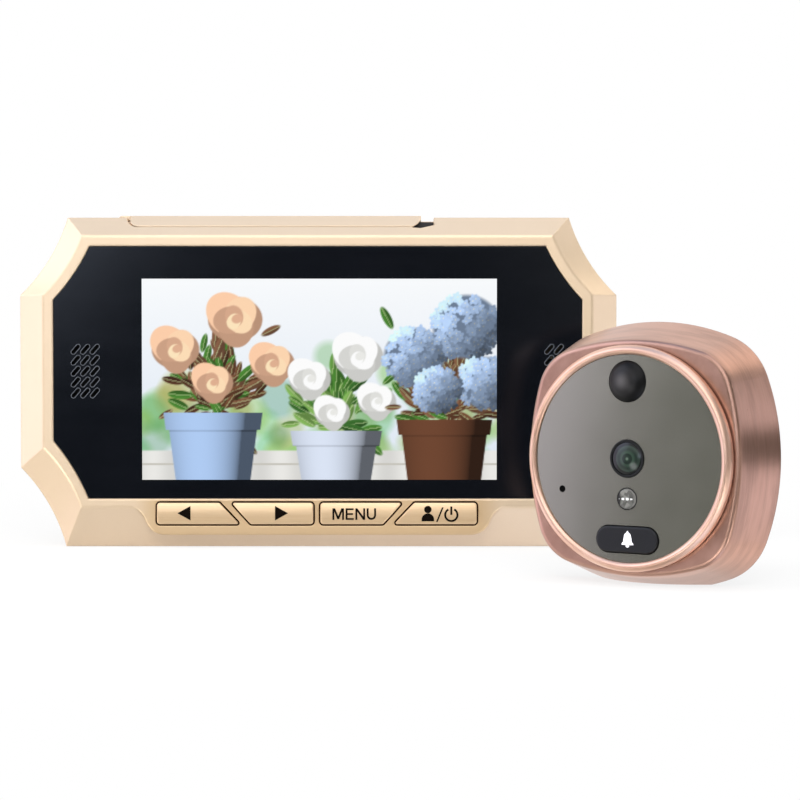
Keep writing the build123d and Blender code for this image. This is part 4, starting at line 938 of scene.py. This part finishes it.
def lit_picture():
    """The canvas as a sheet of quads just in front of the window, glowing in its own colours."""
    rows, columns = canvas.rows, canvas.columns
    x = (SCREEN["x"] - SCREEN["wide"] / 2 + canvas.x) * MM
    z = (SCREEN["z"] - SCREEN["high"] / 2 + canvas.z) * MM
    spots = np.stack([x, np.full_like(x, (WINDOW_Y - PICTURE_AHEAD) * MM), z], -1).reshape(-1, 3)
    at = np.arange(rows * columns).reshape(rows, columns)
    quads = np.stack([at[:-1, :-1], at[:-1, 1:], at[1:, 1:], at[1:, :-1]], -1).reshape(-1, 4)
    mesh = bpy.data.meshes.new("screen_picture")
    mesh.from_pydata(spots.tolist(), [], quads.tolist())
    colours = np.concatenate([linear(canvas.colour).reshape(-1, 3), np.ones((rows * columns, 1))], 1)
    mesh.attributes.new("picture", "FLOAT_COLOR", "POINT").data.foreach_set("color", colours.ravel())
    glow = Finish("lit_picture", roughness=0.12, emission_strength=0.92, specular_ior_level=0.3)
    painted = glow.node("Attribute", {"attribute_name": "picture"}, out="Color")
    glow.feed(emission_color=painted, base_color=glow.mix(0.97, painted, BLACK))
    piece = put("screen_picture", mesh, glow.material)
    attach(piece, "monitor")
    return piece


print("picture quads:", len(lit_picture().data.polygons))

# %% [markdown]
# ## Floor and background
# The object stands on white. The floor keeps a faint shadow: seen directly, it is mostly an even white with
# a share of its real shading mixed in near the object, and that share fades with distance.

# %% Floor
def sheet(name, spots, material):
    """A flat piece of the stage, from its four corners in metres."""
    mesh = bpy.data.meshes.new(name)
    mesh.from_pydata(spots, [], [(0, 1, 2, 3)])
    return put(name, mesh, material)


def floor_finish():
    """Pale ground that turns an even white for the camera, but for a share of shadow near the object."""
    ground = Finish("pale_floor", roughness=0.9, specular_ior_level=0.1)
    ground.feed(base_color=ground.mix(ground.noise(ground.place(), 3.0), tone("efefee"), tone("f4f4f3")))
    ray = ground.outputs("LightPath")
    seen = ray["Is Camera Ray"] + ray["Is Glossy Ray"] + ray["Is Transmission Ray"]
    far = ground.node("VectorMath", {"operation": "LENGTH"}, {0: ground.place()}, out="Value")
    shadow = SHADOW_SHARE - ground.ramp(far, SHADOW_NEAR, SHADOW_FAR) * SHADOW_SHARE
    white = ground.node("Emission", {}, {"Color": WHITE, "Strength": 1.0})
    shaded = Wire(ground, ground.shader.outputs[0])
    both = ground.node("MixShader", {}, {0: seen * (1 - shadow), 1: shaded, 2: white})
    ground.plug(ground.tree.nodes["Material Output"].inputs["Surface"], both)
    return ground


def floor():
    """A wide square just under the object, hidden from mirrors."""
    square = ((-1, -1), (1, -1), (1, 1), (-1, 1))
    spots = [(x * FLOOR_REACH, y * FLOOR_REACH, FLOOR_Z) for x, y in square]
    piece = sheet("floor", spots, floor_finish().material)
    piece.visible_glossy = False


FLOOR_REACH, FLOOR_Z = 6.0, -0.0002
SHADOW_SHARE, SHADOW_NEAR, SHADOW_FAR = 0.22, 0.10, 0.28
floor()
print("floor reaches", FLOOR_REACH, "m each way")

# %% [markdown]
# ## A black card beside the copper
# Part of a shiny wall is often darkened in a studio with a black card. This one stands close to the outdoor
# unit's right wall, and only mirrors see it, so it leaves no shadow. When the unit moves aside the card
# moves with it, because a card left behind would stand in the unit's way and show in its grey face.

# %% Card
CARD_X, CARD_Y, CARD_Z = 0.144, (-0.130, -0.062), (0.0245, 0.0415)


def card():
    """A black card that rides with the outdoor unit and that only mirrors see."""
    felt = grained("card_felt", "0b0a0a", "060606", 0.95, 0.001, 0.00005)
    spots = [(CARD_X, CARD_Y[j], CARD_Z[k]) for j, k in ((0, 0), (1, 0), (1, 1), (0, 1))]
    piece = sheet("black_card", spots, felt.material)
    piece.parent = nodes["outdoor_shell"]
    for kind in ("camera", "diffuse", "transmission", "shadow"):
        setattr(piece, "visible_" + kind, False)


card()
print("card", round((CARD_Y[1] - CARD_Y[0]) * 1000), "by", round((CARD_Z[1] - CARD_Z[0]) * 1000), "mm")

# %% [markdown]
# ## The room that the metals mirror
# Each flank of a bevelled frame mirrors one part of the room, so the room is painted flank by flank: soft
# round patches on a dim ground. The patch straight ahead is the unlit end of the room, and it makes the
# polished window black. Behind the object, and to the camera itself, all is white. What lights the matt
# surfaces is an even grey, so the patches change mirrors only.

# %% Patches
DIM = (0.80, 0.80, 0.80, 1.0)
# Each patch: name, degrees right of the camera's back, degrees up, radius where it is clear and where it is
# gone, in degrees, tint and level. A later patch covers an earlier one.
PATCHES = [
    ("above", 0, 92, 26, 48, (0.50, 0.85, 1.60), 0.48),
    ("front_top", 0, 60, 12, 30, (1.0, 1.0, 1.05), 1.6),
    ("below", -5, -70, 26, 48, (1.0, 1.0, 1.02), 0.36),
    ("below_side", 26, -58, 7, 20, (0.94, 1.0, 1.25), 1.5),
    ("front_above", 0, 25, 9, 21, (1.0, 1.0, 1.05), 1.9),
    ("front_below", 3, -20, 11, 17, (1.0, 0.95, 0.9), 0.05),
    ("left", -98, 0, 30, 38, (0.93, 0.86, 1.08), 1.5),
    ("gap", -38, -12, 27, 31, (1.0, 1.02, 0.97), 0.18),
    ("aside_front", 38, 4, 18, 28, (1.1, 0.85, 0.7), 0.05),
    ("left_glint", -36, -25, 8, 13, (1.0, 1.0, 1.0), 4.5),
    ("right_glint", 33, -31, 6, 10, (1.0, 1.0, 1.0), 5.0),
    ("upper_left", -84, 34, 12, 28, (0.95, 1.0, 1.25), 2.0),
    ("lower_left", -88, -34, 10, 24, (0.98, 0.96, 0.95), 0.85),
    ("right", 96, -4, 18, 30, (1.04, 1.05, 1.22), 0.98),
    ("upper_right", 71, 35, 15, 27, (0.8, 1.0, 1.35), 0.02),
    ("above_right", 116, 54, 14, 28, (1.0, 0.92, 0.84), 1.5),
    ("below_right", 120, -50, 14, 30, (1.0, 0.96, 0.98), 1.2),
    ("straight_ahead", -5, -3, 7, 15, (0.95, 1.0, 1.1), 0.03),
    ("faint_window", -13, 7, 3, 9, (0.85, 0.95, 1.15), 3.4),
]
print("patches:", len(PATCHES))

# %% Room
world = bpy.data.worlds.new("studio")
bpy.context.scene.world = world
world.use_nodes = True
walls = Wiring(world.node_tree)
soft_grey = walls.tree.nodes["Background"]
walls.plug(soft_grey.inputs["Color"], (0.62, 0.63, 0.65, 1.0))
walls.plug(soft_grey.inputs["Strength"], 0.75)
way = walls.node("TexCoord", out="Generated")
room = DIM
for _, aside, up, clear_to, gone_at, tint, level in PATCHES:
    aside, up, clear_to, gone_at = (math.radians(angle) for angle in (aside, up, clear_to, gone_at))
    middle = (math.sin(aside) * math.cos(up), -math.cos(aside) * math.cos(up), math.sin(up))
    near = walls.node("VectorMath", {"operation": "DOT_PRODUCT"}, {0: way, 1: middle}, out="Value")
    share = walls.ramp(near, math.cos(gone_at), math.cos(clear_to))
    room = walls.mix(share, room, (*(level * c for c in tint), 1.0))
room = walls.mix(walls.ramp(walls.axis(way, 1), 0.15, 0.55), room, WHITE)
mirrored = walls.node("Background", {}, {"Color": room})
white = walls.node("Background", {}, {"Color": WHITE})
ray = walls.outputs("LightPath")
direct = walls.node("Math", {"operation": "MAXIMUM"}, {0: ray["Is Camera Ray"], 1: ray["Is Transmission Ray"]})
even = Wire(walls, soft_grey.outputs[0])
unseen = walls.node("MixShader", {}, {0: ray["Is Glossy Ray"], 1: even, 2: mirrored})
either = walls.node("MixShader", {}, {0: direct, 1: unseen, 2: white})
walls.plug(walls.tree.nodes["World Output"].inputs["Surface"], either)
bpy.context.scene.view_settings.view_transform = "Standard"
print("the room has", len(walls.tree.nodes), "nodes")

# %% [markdown]
# The dressed object must stay inside the box of its solids.
